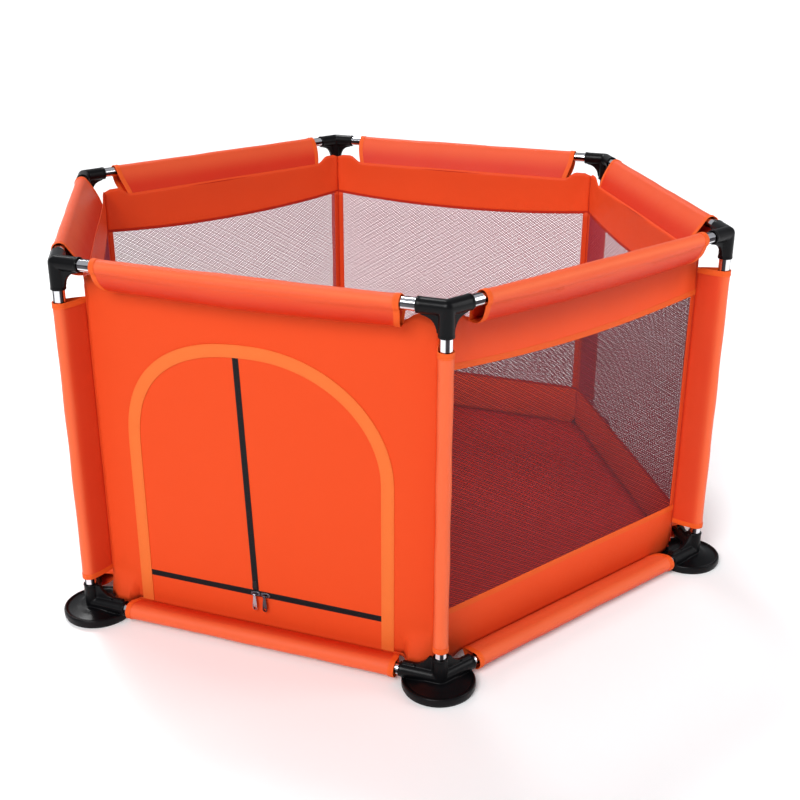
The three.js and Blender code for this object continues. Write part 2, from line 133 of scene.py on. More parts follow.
def add_camera():
    data = bpy.data.cameras.new("camera")
    data.lens = CAMERA_LENS
    camera = bpy.data.objects.new("camera", data)
    bpy.context.collection.objects.link(camera)
    level = math.cos(CAMERA_PITCH)
    forward = Vector((math.sin(CAMERA_YAW) * level, math.cos(CAMERA_YAW) * level, math.sin(CAMERA_PITCH)))
    right = forward.cross(Vector((0, 0, 1))).normalized()
    up = right.cross(forward)
    turn = Matrix((right, up, -forward)).transposed() @ Matrix.Rotation(CAMERA_ROLL, 3, "Z")
    camera.matrix_world = Matrix.Translation(CAMERA_PLACE) @ turn.to_4x4()
    bpy.context.scene.camera = camera


# ---- Mesh tools ----


class Skin:
    """Part of a mesh: points, faces in arrays of one corner count each, cloth coordinates and a tone.

    The cloth coordinates are metres along and across the weave; the tone runs from 0 to 1, lit to deep, and
    paints light and shade into the colour.
    """

    def __init__(self, points, faces, cloth=None, tone=0.0):
        self.points = np.asarray(points, float).reshape(-1, 3)
        self.faces = [np.asarray(f, np.int64) for f in faces]
        self.cloth = self.points[:, [0, 2]] if cloth is None else np.asarray(cloth, float).reshape(-1, 2)
        self.tone = np.broadcast_to(np.asarray(tone, float).reshape(-1), (len(self.points),))


def surface(points, cloth=None, tone=0.0, close_u=False, close_v=False, caps=False):
    """Skin over points[u, v]: four-sided faces between neighbours, joined round where a direction closes.

    caps shuts the first and the last row of a tube that closes along v.
    """
    rows, cols = points.shape[:2]
    index = np.arange(rows * cols).reshape(rows, cols)
    ends = [index[:1, ::-1], index[-1:]] if caps else []
    if close_u:
        index = np.vstack([index, index[:1]])
    if close_v:
        index = np.hstack([index, index[:, :1]])
    quads = np.stack([index[:-1, :-1], index[1:, :-1], index[1:, 1:], index[:-1, 1:]], axis=-1).reshape(-1, 4)
    return Skin(points, [quads, *ends], cloth, tone)


def turned(skin, turns):
    """The skin turned about the pen's middle by a number of sixths of a circle."""
    c, s = math.cos(turns * STEP), math.sin(turns * STEP)
    return Skin(skin.points @ np.array([[c, s, 0], [-s, c, 0], [0, 0, 1]]), skin.faces, skin.cloth, skin.tone)


def moved(skin, offset):
    return Skin(skin.points + np.array(offset), skin.faces, skin.cloth, skin.tone)


def make_mesh(name, skins):
    """One mesh of all the skins, with a UV map named cloth and a point attribute named tone."""
    starts = np.cumsum([0] + [len(s.points) for s in skins])
    faces = [f + start for s, start in zip(skins, starts) for f in s.faces if len(f)]
    corners = np.concatenate([f.ravel() for f in faces])
    counts = np.concatenate([np.full(len(f), f.shape[1]) for f in faces])
    mesh = bpy.data.meshes.new(name)
    mesh.vertices.add(int(starts[-1]))
    mesh.vertices.foreach_set("co", np.concatenate([s.points for s in skins]).astype(np.float32).ravel())
    mesh.loops.add(len(corners))
    mesh.loops.foreach_set("vertex_index", corners.astype(np.int32))
    mesh.polygons.add(len(counts))
    mesh.polygons.foreach_set("loop_start", (np.cumsum(counts) - counts).astype(np.int32))
    mesh.update(calc_edges=True)
    cloth = np.concatenate([s.cloth for s in skins])[corners]
    mesh.uv_layers.new(name="cloth").data.foreach_set("uv", cloth.astype(np.float32).ravel())
    tone = mesh.attributes.new("tone", "FLOAT", "POINT")
    tone.data.foreach_set("value", np.concatenate([s.tone for s in skins]).astype(np.float32))
    return mesh


def face_outwards(mesh):
    work = bmesh.new()
    work.from_mesh(mesh)
    bmesh.ops.recalc_face_normals(work, faces=work.faces)
    work.to_mesh(mesh)
    work.free()


def make(name, skins, finish, body="pen", stands_for=(), wall=0.0, closed=True):
    """A finished piece: one mesh of the skins, its finish, its body and the CAD nodes that it stands for.

    closed turns the faces outwards, which a melted form doesn't need; an open cloth gets a wall instead.
    """
    mesh = make_mesh(name, skins)
    if closed:
        face_outwards(mesh)
    mesh.shade_smooth()
    mesh.set_sharp_from_angle(angle=math.radians(40))
    material, slot = finish
    mesh.materials.append(material)
    piece = bpy.data.objects.new(name, mesh)
    bpy.context.collection.objects.link(piece)
    if wall:
        shell = piece.modifiers.new("cloth", "SOLIDIFY")
        shell.thickness = wall
        shell.offset = 0
    if body:
        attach(piece, body)
    if stands_for:
        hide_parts(*stands_for)
    return piece


def smoothstep(x):
    x = np.clip(x, 0, 1)
    return x * x * (3 - 2 * x)


def bow(t):
    """A parabola that is 0 at t 0 and 1, and 1 in the middle."""
    return 4 * t * (1 - t)


def unit(vectors):
    return vectors / np.linalg.norm(vectors, axis=-1, keepdims=True)


def distances(path):
    """How far along a path of straight steps each of its points lies."""
    return np.concatenate([[0], np.cumsum(np.linalg.norm(np.diff(path, axis=0), axis=1))])


def resampled(path, count):
    """Points at even distances along a path of straight steps."""
    along = distances(path)
    marks = np.linspace(0, along[-1], count)
    return np.stack([np.interp(marks, along, column) for column in path.T], axis=1)


def length_of(path):
    return float(np.linalg.norm(np.diff(path, axis=0), axis=1).sum())


def arc(centre, radius, start, end, count):
    """Points on an arc; radius may be a pair, for an ellipse, and the angles are in degrees."""
    angle = np.radians(np.linspace(start, end, count))
    return np.array(centre) + np.stack([np.cos(angle), np.sin(angle)], axis=1) * radius


def on_side(s, inset, z):
    """Points of side 1 from the distance along it, the distance inwards of the rails and the height."""
    s, inset, z = np.broadcast_arrays(s, inset, z)
    return np.stack([s, inset - APOTHEM, z], axis=-1)


def carried(path, across, out, profile):
    """A closed profile carried along a path: its first value runs along across, its second along out."""
    points = path[:, None] + profile[None, :, :1] * across[:, None] + profile[None, :, 1:] * out[:, None]
    return surface(points, close_v=True, caps=True)


def on_door(path, profile):
    """A closed profile carried along a line of (s, z) on the door's cloth, square to its travel.

    The profile's first value runs to the right of the travel, its second stands out from the mid-plane.
    """
    travel = unit(np.gradient(path, axis=0))
    across = on_side(travel[:, 1], APOTHEM, -travel[:, 0])
    out = np.broadcast_to([0.0, -1.0, 0.0], across.shape)
    return carried(on_side(path[:, 0], INSET, path[:, 1]), across, out, profile)


def flat_tape(left, right, inner, outer):
    """Profile of a tape between two sides, slightly domed, with its edges rounded."""
    middle, ease, dome = (left + right) / 2, 0.3 * MM, 0.15 * MM
    return np.array([
        [left, inner], [left, outer - ease], [left + ease, outer], [middle, outer + dome],
        [right - ease, outer], [right, outer - ease], [right, inner],
    ])


def round_profile(radius, count=10):
    angle = np.arange(count) * 2 * math.pi / count
    return radius * np.stack([np.cos(angle), np.sin(angle)], axis=1)


def revolved(profile, count, close=False, tone=lambda angle: 0 * angle):
    """A profile of (radius, height) turned about Z; its ends are capped unless it closes on itself."""
    angle = np.arange(count) * 2 * math.pi / count
    ring = np.stack([np.cos(angle), np.sin(angle), np.ones(count)], axis=1)
    points = np.array(profile)[:, [0, 0, 1]][:, None] * ring[None]
    shade = np.tile(tone(angle), len(points))
    return surface(points, tone=shade, close_u=close, close_v=True, caps=not close)


def on_panel(skins, number):
    """Skins drawn on side 1, turned to a side."""
    return [turned(skin, number - 1) for skin in skins]


def on_post(skins, number, height):
    """Skins drawn about the first post's axis, raised and turned to a corner."""
    return [turned(moved(skin, (REACH, 0, height)), number - 2) for skin in skins]


def aimed(skin, direction):
    """The skin with its Z axis laid along a direction."""
    turn = np.array(Vector((0, 0, 1)).rotation_difference(Vector(direction)).to_matrix())
    return Skin(skin.points @ turn.T, skin.faces, skin.cloth, skin.tone)


GRAIN = np.array([[-1, 0, 0], [1, 0, 0], [0, -1, 0], [0, 1, 0], [0, 0, -1], [0, 0, 1]], float)
GRAIN_FACES = np.array([
    [1, 3, 5], [3, 0, 5], [0, 2, 5], [2, 1, 5],
    [3, 1, 4], [0, 3, 4], [2, 0, 4], [1, 2, 4],
])
BLOCK_FACES = np.array([[0, 1, 2, 3], [4, 7, 6, 5], [0, 4, 5, 1], [1, 5, 6, 2], [2, 6, 7, 3], [3, 7, 4, 0]])
BLOCK_CORNERS = 8


def repeated(faces, corners, count):
    """The faces of one small body, repeated for count bodies that each bring their own corners."""
    return (faces[None] + (np.arange(count) * corners)[:, None, None]).reshape(-1, faces.shape[1])


def stitches(path, out):
    """A row of stitches along a path: every pitch a grain of eight faces, low and long with the path."""
    count = max(2, round(length_of(path) / STITCH_PITCH))
    along = resampled(np.hstack([path, out]), count + 1)
    place, lift = (along[1:] + along[:-1])[:, :3] / 2, unit((along[1:] + along[:-1])[:, 3:])
    travel = unit(np.diff(along[:, :3], axis=0))
    half_wide, half_high = 0.32 * MM, 0.28 * MM
    axes = [travel * 0.36 * STITCH_PITCH, np.cross(travel, lift) * half_wide, lift * half_high]
    points = place[:, None] + np.einsum("ga,naj->ngj", GRAIN, np.stack(axes, axis=1))
    return Skin(points, [repeated(GRAIN_FACES, len(GRAIN), count)])


def joined(skins):
    """Several skins as one."""
    starts = np.cumsum([0] + [len(s.points) for s in skins])
    faces = [f + start for s, start in zip(skins, starts) for f in s.faces]
    parts = [np.concatenate([getattr(s, key) for s in skins]) for key in ("points", "cloth", "tone")]
    return Skin(parts[0], faces, parts[1], parts[2])


# ---- Materials ----


class Wire:
    """A shader output with arithmetic: an expression on wires and numbers adds its Math nodes."""

    def __init__(self, shade, socket):
        self.shade, self.socket = shade, socket

    def math(self, operation, first, second=None):
        values = {0: first} if second is None else {0: first, 1: second}
        return self.shade.node("ShaderNodeMath", "Value", {"operation": operation}, values)

    def __add__(self, other):
        return self.math("ADD", self, other)

    def __mul__(self, other):
        return self.math("MULTIPLY", self, other)

    def __sub__(self, other):
        return self.math("SUBTRACT", self, other)

    def __rsub__(self, other):
        return self.math("SUBTRACT", other, self)

    def sine(self):
        return self.math("SINE", self)

    __radd__, __rmul__ = __add__, __mul__


class Shade:
    """One material: its nodes, added by one method, and the sockets of its Principled shader."""

    def __init__(self, name):
        self.material = bpy.data.materials.new(name)
        self.material.use_nodes = True
        self.nodes = self.material.node_tree.nodes
        self.shader = self.nodes["Principled BSDF"]

    def feed(self, node, key, value):
        if isinstance(value, Wire):
            self.material.node_tree.links.new(value.socket, node.inputs[key])
        else:
            node.inputs[key].default_value = value

    def node(self, kind, output, settings=None, values=None):
        """Adds a node: its settings first, then its sockets' values or links. Gives one output's wire."""
        node = self.nodes.new(kind)
        for key, value in (settings or {}).items():
            setattr(node, key, value)
        for key, value in (values or {}).items():
            self.feed(node, key, value)
        return Wire(self, node.outputs[output])

    def show(self, key, value):
        self.feed(self.shader, key, value)

    def cloth(self):
        """The piece's cloth coordinates, in metres, as two wires."""
        uv = self.node("ShaderNodeUVMap", "UV", {"uv_map": "cloth"})
        return [self.node("ShaderNodeSeparateXYZ", axis, None, {0: uv}) for axis in "XY"]

    def tone(self):
        return self.node("ShaderNodeAttribute", "Fac", {"attribute_name": "tone"})

    def noise(self, scale, detail=3.0, stretch=(1, 1, 1)):
        """Noise on Object coordinates, from 0 to 1; scale is in patches a metre."""
        place = self.node("ShaderNodeTexCoord", "Object")
        laid = self.node("ShaderNodeMapping", "Vector", None, {"Vector": place, "Scale": stretch})
        values = {"Vector": laid, "Scale": scale, "Detail": detail}
        return self.node("ShaderNodeTexNoise", "Fac", None, values)

    def mix(self, factor, first, second):
        """A colour between two; a Mix node set to colours takes them at sockets 6 and 7, its factor at 0."""
        return self.node("ShaderNodeMix", 2, {"data_type": "RGBA"}, {0: factor, 6: first, 7: second})

    def bump(self, height, depth, strength):
        values = {"Height": height, "Distance": depth, "Strength": strength}
        self.show("Normal", self.node("ShaderNodeBump", "Normal", None, values))


def rgb(red, green, blue):
    """A display colour from 0 to 255 as the shader's linear colour."""
    display = np.array([red, green, blue]) / 255
    linear = np.where(display < 0.04045, display / 12.92, ((display + 0.055) / 1.055) ** 2.4)
    return (*linear.tolist(), 1.0)


def woven(name, lit, deep, thread, roughness, gloss):
    """Plain weave: two sines of the cloth coordinates multiplied; the tone paints highlight and shade between
    the lit and deep colours, and soft noise varies the colour.
    """
    shade = Shade(name)
    shade.show("Specular IOR Level", gloss)
    along, across = shade.cloth()
    turns = 2 * math.pi / thread
    weave = (along * turns).sine() * (across * turns).sine()
    patches = shade.noise(9.0)
    blend = shade.tone() + (patches - 0.5) * 0.14 + weave * 0.04
    shade.show("Base Color", shade.mix(blend, lit, deep))
    shade.show("Roughness", roughness + (shade.noise(60.0) - 0.5) * 0.16 - weave * 0.04)
    shade.bump(weave * 0.5 + shade.noise(35.0) * 1.6, 0.16 * MM, 0.5)
    return shade.material


def ribbed(name, lit, deep, rib, roughness):
    """Binding or zip tape: ribs along the tape's coordinates, each rib slightly darker at its edges."""
    shade = Shade(name)
    shade.show("Specular IOR Level", 0.2)
    place = shade.node("ShaderNodeTexCoord", "Object")
    turns = 2 * math.pi / rib
    x, y, z = [shade.node("ShaderNodeSeparateXYZ", axis, None, {0: place}) for axis in "XYZ"]
    ribs = ((x + y) * turns).sine() * (z * turns).sine()
    shade.show("Base Color", shade.mix(ribs * 0.25 + shade.noise(40.0) * 0.5, lit, deep))
    shade.show("Roughness", roughness + (shade.noise(120.0) - 0.5) * 0.15)
    shade.bump(ribs, 0.12 * MM, 0.5)
    return shade.material


def moulded(name, colour, worn, roughness, coat):
    """Moulded plastic or rubber: fine spark-eroded grain, and soft scuffs that dull the gloss."""
    shade = Shade(name)
    shade.show("Coat Roughness", 0.15)
    shade.show("Specular IOR Level", 0.1)
    scuffs = shade.noise(14.0, 5.0)
    grain = shade.noise(900.0, 2.0)
    shade.show("Base Color", shade.mix((scuffs - 0.45) * 1.6, colour, worn))
    shade.show("Roughness", roughness + (scuffs - 0.5) * 0.3 + (grain - 0.5) * 0.08)
    shade.show("Coat Weight", coat - (scuffs - 0.5) * 0.08)
    shade.bump(grain, 0.05 * MM, 0.35)
    return shade.material


def plated(name, colour, stain_and_painted_reflection, roughness, streak):
    """Bright metal: drawn streaks stretched along one axis, faint cloudy staining, and painted dark
    reflection bands where the tone is set.
    """
    shade = Shade(name)
    shade.show("Metallic", 1.0)
    clouds = shade.noise(18.0, 4.0)
    lines = shade.noise(260.0, 2.0, streak)
    shade.show("Base Color", shade.mix((clouds - 0.5) * 0.5 + shade.tone(), colour, stain_and_painted_reflection))
    shade.show("Roughness", roughness + (lines - 0.5) * 0.1 + (clouds - 0.5) * 0.06)
    shade.bump(lines, 0.02 * MM, 0.25)
    return shade.material


def netted(name, inner, outer):
    """Net yarn with painted light: one yarn, its inner face painted paler and its outer face painted darker;
    a fine twist as a quick sine over the height.
    """
    shade = Shade(name)
    shade.show("Specular IOR Level", 0.2)
    place = shade.node("ShaderNodeTexCoord", "Object")
    height = shade.node("ShaderNodeSeparateXYZ", "Z", None, {0: place})
    twist = (height * (2 * math.pi / (0.7 * MM))).sine()
    blend = shade.tone() + twist * 0.12 + (shade.noise(30.0) - 0.5) * 0.3
    shade.show("Base Color", shade.mix(blend, inner, outer))
    shade.show("Roughness", 0.62 + (shade.noise(80.0) - 0.5) * 0.2)
    return shade.material


# Each finish is a material and the name of a slot of the imported model.
WEAVE, COARSE, RIB, THREAD_RIB, ZIP_RIB = 0.7 * MM, 0.8 * MM, 0.9 * MM, 0.5 * MM, 0.6 * MM
# Sleeve cloth: the lit colour is a painted highlight and the deep colour painted shade, set by the tone.
ORANGE = woven("orange_oxford", rgb(234, 104, 60), rgb(206, 42, 12), WEAVE, 0.38, 0.18), "orange_fabric"
DOOR_CLOTH = woven("orange_door_oxford", rgb(222, 74, 31), rgb(200, 50, 18), WEAVE, 0.6, 0.1), "orange_fabric"
# Band cloth: the deep colour is painted shade, set by the tone.
BAND = woven("orange_band_oxford", rgb(234, 80, 34), rgb(160, 40, 18), WEAVE, 0.5, 0.15), "orange_net_panel"
EDGE_TAPE = ribbed("light_orange_binding", rgb(230, 112, 48), rgb(222, 102, 42), RIB, 0.6), "binding_fabric"
HEM = ribbed("orange_hem_tape", rgb(232, 94, 32), rgb(218, 76, 22), RIB, 0.6), "binding_fabric"
PIPING = ribbed("red_piping", rgb(190, 44, 20), rgb(160, 30, 14), RIB, 0.6), "orange_fabric"
THREAD = ribbed("orange_thread", rgb(244, 118, 62), rgb(226, 88, 34), THREAD_RIB, 0.55), "binding_fabric"
# The net's two colours are one yarn, painted paler on its inner face and darker on its outer.
NET = netted("plum_net_yarn", rgb(156, 44, 70), rgb(62, 18, 24)), "orange_net_panel"
FLOOR_CLOTH = woven("red_floor_oxford", rgb(206, 40, 16), rgb(160, 22, 8), COARSE, 0.6, 0.1), "floor_fabric"
PLASTIC = moulded("black_moulding", rgb(8, 8, 10), rgb(16, 15, 17), 0.34, 0.07), "black_plastic"
RUBBER = moulded("black_rubber_pad", rgb(14, 14, 15), rgb(24, 24, 25), 0.75, 0.05), "black_rubber"
DRAWN, TUMBLED = (0.05, 0.05, 1), (1, 1, 0.3)  # stretch of the streaks along each axis
# The steel's dark colour serves its stains and the painted reflection bands of its tubes.
STEEL = plated("polished_tube_steel", rgb(232, 232, 236), rgb(52, 48, 52), 0.12, DRAWN), "polished_steel"
ZINC = plated("plated_zinc", rgb(186, 188, 198), rgb(120, 120, 130), 0.22, TUMBLED), "zinc_alloy"
GUNMETAL = plated("dark_plated_zinc", rgb(92, 90, 98), rgb(44, 42, 48), 0.26, TUMBLED), "zinc_alloy"
ENAMEL = moulded("black_enamelled_zinc", rgb(14, 14, 16), rgb(26, 25, 28), 0.3, 0.3), "zinc_alloy"
ZIP_BLACK = ribbed("black_zip_tape", rgb(20, 20, 24), rgb(12, 14, 16), ZIP_RIB, 0.55), "black_plastic"


# ---- Room ----


def add_light(name, kind, place, strength, **settings):
    """A light aimed at the pen's middle; a sun's settings give its angle, an area's its size."""
    data = bpy.data.lights.new(name, kind)
    data.energy = strength
    for key, value in settings.items():
        setattr(data, key, value)
    light = bpy.data.objects.new(name, data)
    bpy.context.collection.objects.link(light)
    aim = (Vector((0, 0, UPPER / 2)) - Vector(place)).to_track_quat("-Z", "Y").to_matrix().to_4x4()
    light.matrix_world = Matrix.Translation(place) @ aim


def add_room():
    """A wide pale floor, a grey surround, two soft suns for even light and two boxes for the highlights."""
    disc = revolved([(60.0, -2 * MM), (60.0, -0.2 * MM)], 96)
    shade = Shade("studio_floor")
    shade.show("Roughness", 0.9)
    shade.show("Specular IOR Level", 0.1)
    shade.show("Base Color", shade.mix(shade.noise(0.4), (0.93, 0.93, 0.93, 1), (0.95, 0.95, 0.95, 1)))
    shade.show("Emission Color", (1, 1, 1, 1))
    shade.show("Emission Strength", 0.05)
    mesh = make_mesh("studio_floor", [disc])
    face_outwards(mesh)
    mesh.materials.append(shade.material)
    floor = bpy.data.objects.new("studio_floor", mesh)
    bpy.context.collection.objects.link(floor)
    world = bpy.data.worlds.new("studio")
    world.use_nodes = True
    background = world.node_tree.nodes["Background"]
    background.inputs["Color"].default_value = (0.94, 0.96, 1, 1)
    background.inputs["Strength"].default_value = 0.42
    bpy.context.scene.world = world
    add_light("front_sun", "SUN", (-0.3, -3.2, 2.9), 2.2, angle=math.radians(30))
    add_light("back_sun", "SUN", (-2.2, 2.2, 4.4), 1.5, angle=math.radians(16))
    add_light("left_box", "AREA", (-2.6, 0.4, 1.5), 16, shape="RECTANGLE", size=0.8, size_y=2.0)
    add_light("right_box", "AREA", (2.9, 0.3, 1.6), 20, shape="RECTANGLE", size=0.8, size_y=2.0)
    bpy.context.scene.view_settings.view_transform = "Standard"


# ---- Tubes, connectors and feet ----

AXIS = 0.01 * MM  # nearest that a turned profile comes to its axis
SOCKET_BORE = TUBE + 0.3 * MM
ARM = SOCKET_BORE + 2 * MM  # outer radius of a socket
SOCKET_FLOOR = ARM + 1.7 * MM
ARM_TURN = math.pi / 2 + STEP / 2
ARM_WAYS = [(math.cos(a), math.sin(a), 0.0) for a in (-ARM_TURN, ARM_TURN)]
FOOT_SHIFT = -11 * MM  # foot's middle, inwards of its post
WEB_POINTS = 64


def tube(length):
    """A drawn tube about Z: outer and inner wall, its cut edges eased, with four painted dark reflection
    bands along it, set in its tone.
    """
    wall, ease = 0.6 * MM, 0.2 * MM
    half, inner = length / 2, TUBE - wall
    profile = [
        (inner, -half), (TUBE - ease, -half), (TUBE, -half + ease),
        (TUBE, half - ease), (TUBE - ease, half), (inner, half),
    ]
    return revolved(profile, 48, True, lambda angle: smoothstep((np.cos(4 * angle) - 0.1) / 0.45))


def layered(rings):
    """Rings of (x, z) points, each at its own level along Y, as one grid of points."""
    return np.stack([np.column_stack([ring[:, 0], np.full(len(ring), y), ring[:, 1]]) for ring, y in rings])


def plate_with_hole(outline, hole, half):
    """A flat plate with an eased edge, as a ring that closes both ways: outer edge, face, hole, back face."""
    ease = 0.25 * half
    inset = outline + unit(hole.mean(axis=0) - outline) * ease
    rings = [
        (inset, half), (hole, half), (hole, -half),
        (inset, -half), (outline, -half + ease), (outline, half - ease),
    ]
    return surface(layered(rings), close_u=True, close_v=True)


def facing_first(loop, middle):
    """A loop of points started at the one that lies most nearly along +X from a middle."""
    angle = np.abs(np.arctan2(loop[:, 1] - middle[1], loop[:, 0] - middle[0]))
    return np.roll(loop, -int(np.argmin(angle)), axis=0)


def socket_arm(direction, length):
    """A socket: a thick-walled cup turned about its direction, with a rounded mouth and a slight collar."""
    collar, lip = ARM + 0.5 * MM, 1.0 * MM
    profile = [
        (AXIS, 0), (ARM, 0), (ARM, length - 5 * MM), (collar, length - 4 * MM), (collar, length - lip),
        (collar - 0.6 * lip, length), (SOCKET_BORE + 0.5 * lip, length), (SOCKET_BORE, length - lip),
        (SOCKET_BORE, SOCKET_FLOOR), (AXIS, SOCKET_FLOOR),
    ]
    return aimed(revolved(profile, 48), direction)


def web(direction, up, outline, hole=None):
    """A web's outline of (along the arm, along the post) given its thickness and stood up beside the post."""
    half = 3.5 * MM
    if hole is None:
        inner = outline.mean(axis=0) + 0.2 * (outline - outline.mean(axis=0))
        layers = [(inner, half), (outline, half), (outline, -half), (inner, -half)]
        plate = surface(layered(layers), close_v=True, caps=True)
    else:
        plate = plate_with_hole(outline, hole, half)
    axes = np.array([direction, np.cross([0, 0, up], direction), [0, 0, up]])
    return Skin(plate.points @ axes, plate.faces)


def web_outline(curve, reach, tail, top):
    """Between an arm and the post: two legs sunk in their walls, and a concave arc of radius curve."""
    sunk = ARM - 1 * MM
    sweep = math.degrees(math.asin(min(1, (reach - sunk) / curve)))
    rounded = arc((reach, reach), curve, -90, -90 - sweep, 16)
    rounded = rounded[rounded[:, 1] <= top]
    legs = [[sunk, sunk], [tail, sunk], [tail, reach - curve]]
    loop = np.vstack([legs, rounded, [[sunk, rounded[-1, 1]], [sunk, sunk]]])
    return resampled(loop, WEB_POINTS + 1)[:-1]


def melted(name, skins, voxel, share):
    """The skins melted into one moulding: voxels of one size, smoothed, thinned and cut into triangles."""
    mesh = make_mesh(name, skins)
    face_outwards(mesh)
    work = bpy.data.objects.new(name, mesh)
    bpy.context.collection.objects.link(work)
    remesh = work.modifiers.new("melt", "REMESH")
    remesh.mode = "VOXEL"
    remesh.voxel_size = voxel
    ease = work.modifiers.new("ease", "SMOOTH")
    ease.factor = 0.5
    ease.iterations = 5
    thin = work.modifiers.new("thin", "DECIMATE")
    thin.ratio = share
    work.modifiers.new("cut", "TRIANGULATE")
    done = bpy.data.meshes.new_from_object(work.evaluated_get(bpy.context.evaluated_depsgraph_get()))
    points = np.empty(len(done.vertices) * 3, np.float32)
    done.vertices.foreach_get("co", points)
    corners = np.empty(len(done.loops), np.int32)
    done.loops.foreach_get("vertex_index", corners)
    bpy.data.objects.remove(work)
    bpy.data.meshes.remove(done)
    return Skin(points.reshape(-1, 3), [corners.reshape(-1, 3)])


def ball(radius):
    return revolved(arc((0, 0), radius, -89.9, 89.9, 13), 32)


def top_connector():
    length, curve = 45 * MM, 25 * MM
    reach = ARM + 1.7 * MM + curve
    outline = web_outline(curve, reach, reach, reach)
    core = ball(ARM)
    parts = [core, socket_arm((0, 0, -1), length)]
    for way in ARM_WAYS:
        parts += [socket_arm(way, length), web(way, -1, outline)]
    return melted("top_connector_form", parts, 0.85 * MM, 0.38)


def foot_disc():
    """The foot's bell: a rounded rim with a bead, a gutter, and a cone up to a flat crown."""
    low, high = foot_low.z - LOWER, 19 * MM - LOWER
    outer = 60.5 * MM
    profile = [
        (AXIS, low), (outer - 2 * MM, low), (outer - 0.5 * MM, low + 0.6 * MM), (outer, low + 2.5 * MM),
        (outer, low + 9.5 * MM), (outer - 0.8 * MM, low + 11.8 * MM), (outer - 2.6 * MM, low + 13 * MM),
        (outer - 4.6 * MM, low + 12.4 * MM), (outer - 6 * MM, low + 10.2 * MM),
        (outer - 9 * MM, low + 9.8 * MM), (38 * MM, high - 3.4 * MM), (30 * MM, high - 0.6 * MM),
        (26 * MM, high), (AXIS, high),
    ]
    return moved(revolved(profile, 96), (FOOT_SHIFT, 0, 0))


def foot_connector():
    length, post, curve = 69 * MM, 38 * MM, 32.5 * MM
    reach = ARM + 4.2 * MM + curve
    outline = web_outline(curve, reach, length - 5 * MM, post)
    slot = arc((reach - 7 * MM, ARM + 2.2 * MM), (3.2 * MM, 1.3 * MM), 0, 360, WEB_POINTS + 1)[:-1]
    core = ball(ARM)
    parts = [core, socket_arm((0, 0, 1), post), foot_disc()]
    for way in ARM_WAYS:
        parts += [socket_arm(way, length), web(way, 1, facing_first(outline, slot.mean(axis=0)), slot)]
    return melted("foot_connector_form", parts, 0.95 * MM, 0.3)


def foot_pad():
    """A rubber disc with an eased edge and three shallow grip rings pressed into its underside."""
    edge, height, ease, depth = pad_high.y, pad_high.z, 0.4 * MM, 0.5 * MM
    groove = ((2 * MM, 0), (1 * MM, depth), (-1 * MM, depth), (-2 * MM, 0))
    rings = [(radius * MM + step, level) for radius in (52, 40, 28) for step, level in groove]
    rim = [(edge - ease, height), (edge, height - ease), (edge, ease), (edge - ease, 0)]
    return moved(revolved([(AXIS, height), *rim, *rings, (AXIS, 0)], 72), (FOOT_SHIFT, 0, 0))


def add_frame():
    post, rail = tube(post_high.z - post_low.z), aimed(tube(rail_high.x - rail_low.x), (1, 0, 0))
    top, foot, pad = top_connector(), foot_connector(), foot_pad()
    middle = (post_high.z + post_low.z) / 2
    corner_parts = [
        ("top_corner", "top_connector", top, UPPER, PLASTIC, False),
        ("foot_corner", "foot_connector", foot, LOWER, PLASTIC, False),
        ("foot_grip", "foot_pad", pad, 0, RUBBER, True),
        ("steel_post", "post", post, middle, STEEL, True),
    ]
    for number in range(1, SIDES + 1):
        for name, node, skin, height, finish, closed in corner_parts:
            skins = on_post([skin], number, height)
            make(f"{name}_{number}", skins, finish, stands_for=[f"{node}_{number}"], closed=closed)
        for name, height in (("top_rail", UPPER), ("bottom_rail", LOWER)):
            laid = turned(moved(rail, (0, -APOTHEM, height)), number - 1)
            make(f"steel_{name}_{number}", [laid], STEEL, stands_for=[f"{name}_{number}"])


# ---- Sleeves ----


def sleeve_section(tip, grip, bulge_in, bulge_out, side_steps=12, arc_steps=22):
    """A sleeve's cross-section from its seam up one side, round the tube and down the other side.

    Lines from the tip touch a circle of radius grip round the tube, each bowed out by its bulge as a
    parabola, and an arc joins the touching points the long way round. Gives points and outward normals.
    """
    toward, tangent = math.atan2(tip[1], tip[0]), math.acos(grip / math.hypot(*tip))
    start, end = math.degrees(toward + tangent), math.degrees(toward - tangent) + 360
    rounded = arc((0, 0), grip, start, end, arc_steps)
    t = np.linspace(0, 1, side_steps)[:, None]

    def side(start, end, bulge):
        run = end - start
        return start + t * run + bulge * bow(t) * unit(np.array([run[1], -run[0]]))

    tip = np.array(tip)
    inner, outer = side(tip, rounded[0], bulge_in), side(rounded[-1], tip, bulge_out)
    path = np.vstack([inner[:-1], rounded, outer[1:]])
    travel = unit(np.gradient(path, axis=0))
    return path, np.column_stack([travel[:, 1], -travel[:, 0]])


def hem_profile(width, half_thick):
    """A folded tape round a hem: from width back on the cloth to just past its edge, rounded over it."""
    nose = arc((0, 0), (HEM_NOSE, half_thick), -90, 90, 7)
    return np.vstack([[[-width, -half_thick * 0.8]], nose, [[-width, half_thick * 0.8]]])


def half_hem_profile(width, half_thick):
    """The half of a hem's tape on one face of the cloth, from the cloth's middle outwards."""
    nose = arc((0, 0), (HEM_NOSE, half_thick), 0, 90, 5)
    return np.vstack([[[-width, 0]], nose, [[-width, half_thick * 0.8]]])


def mouth(path, end, out):
    """A sleeve's mouth: the folded tape along its edge and a row of stitches; end points out of it."""
    across = np.broadcast_to(end, path.shape)
    row = stitches(path - across * (TAPE - 1.6 * MM) + out * 0.8 * MM, out)
    return carried(path, across, out, hem_profile(TAPE, HEM_HALF)), row


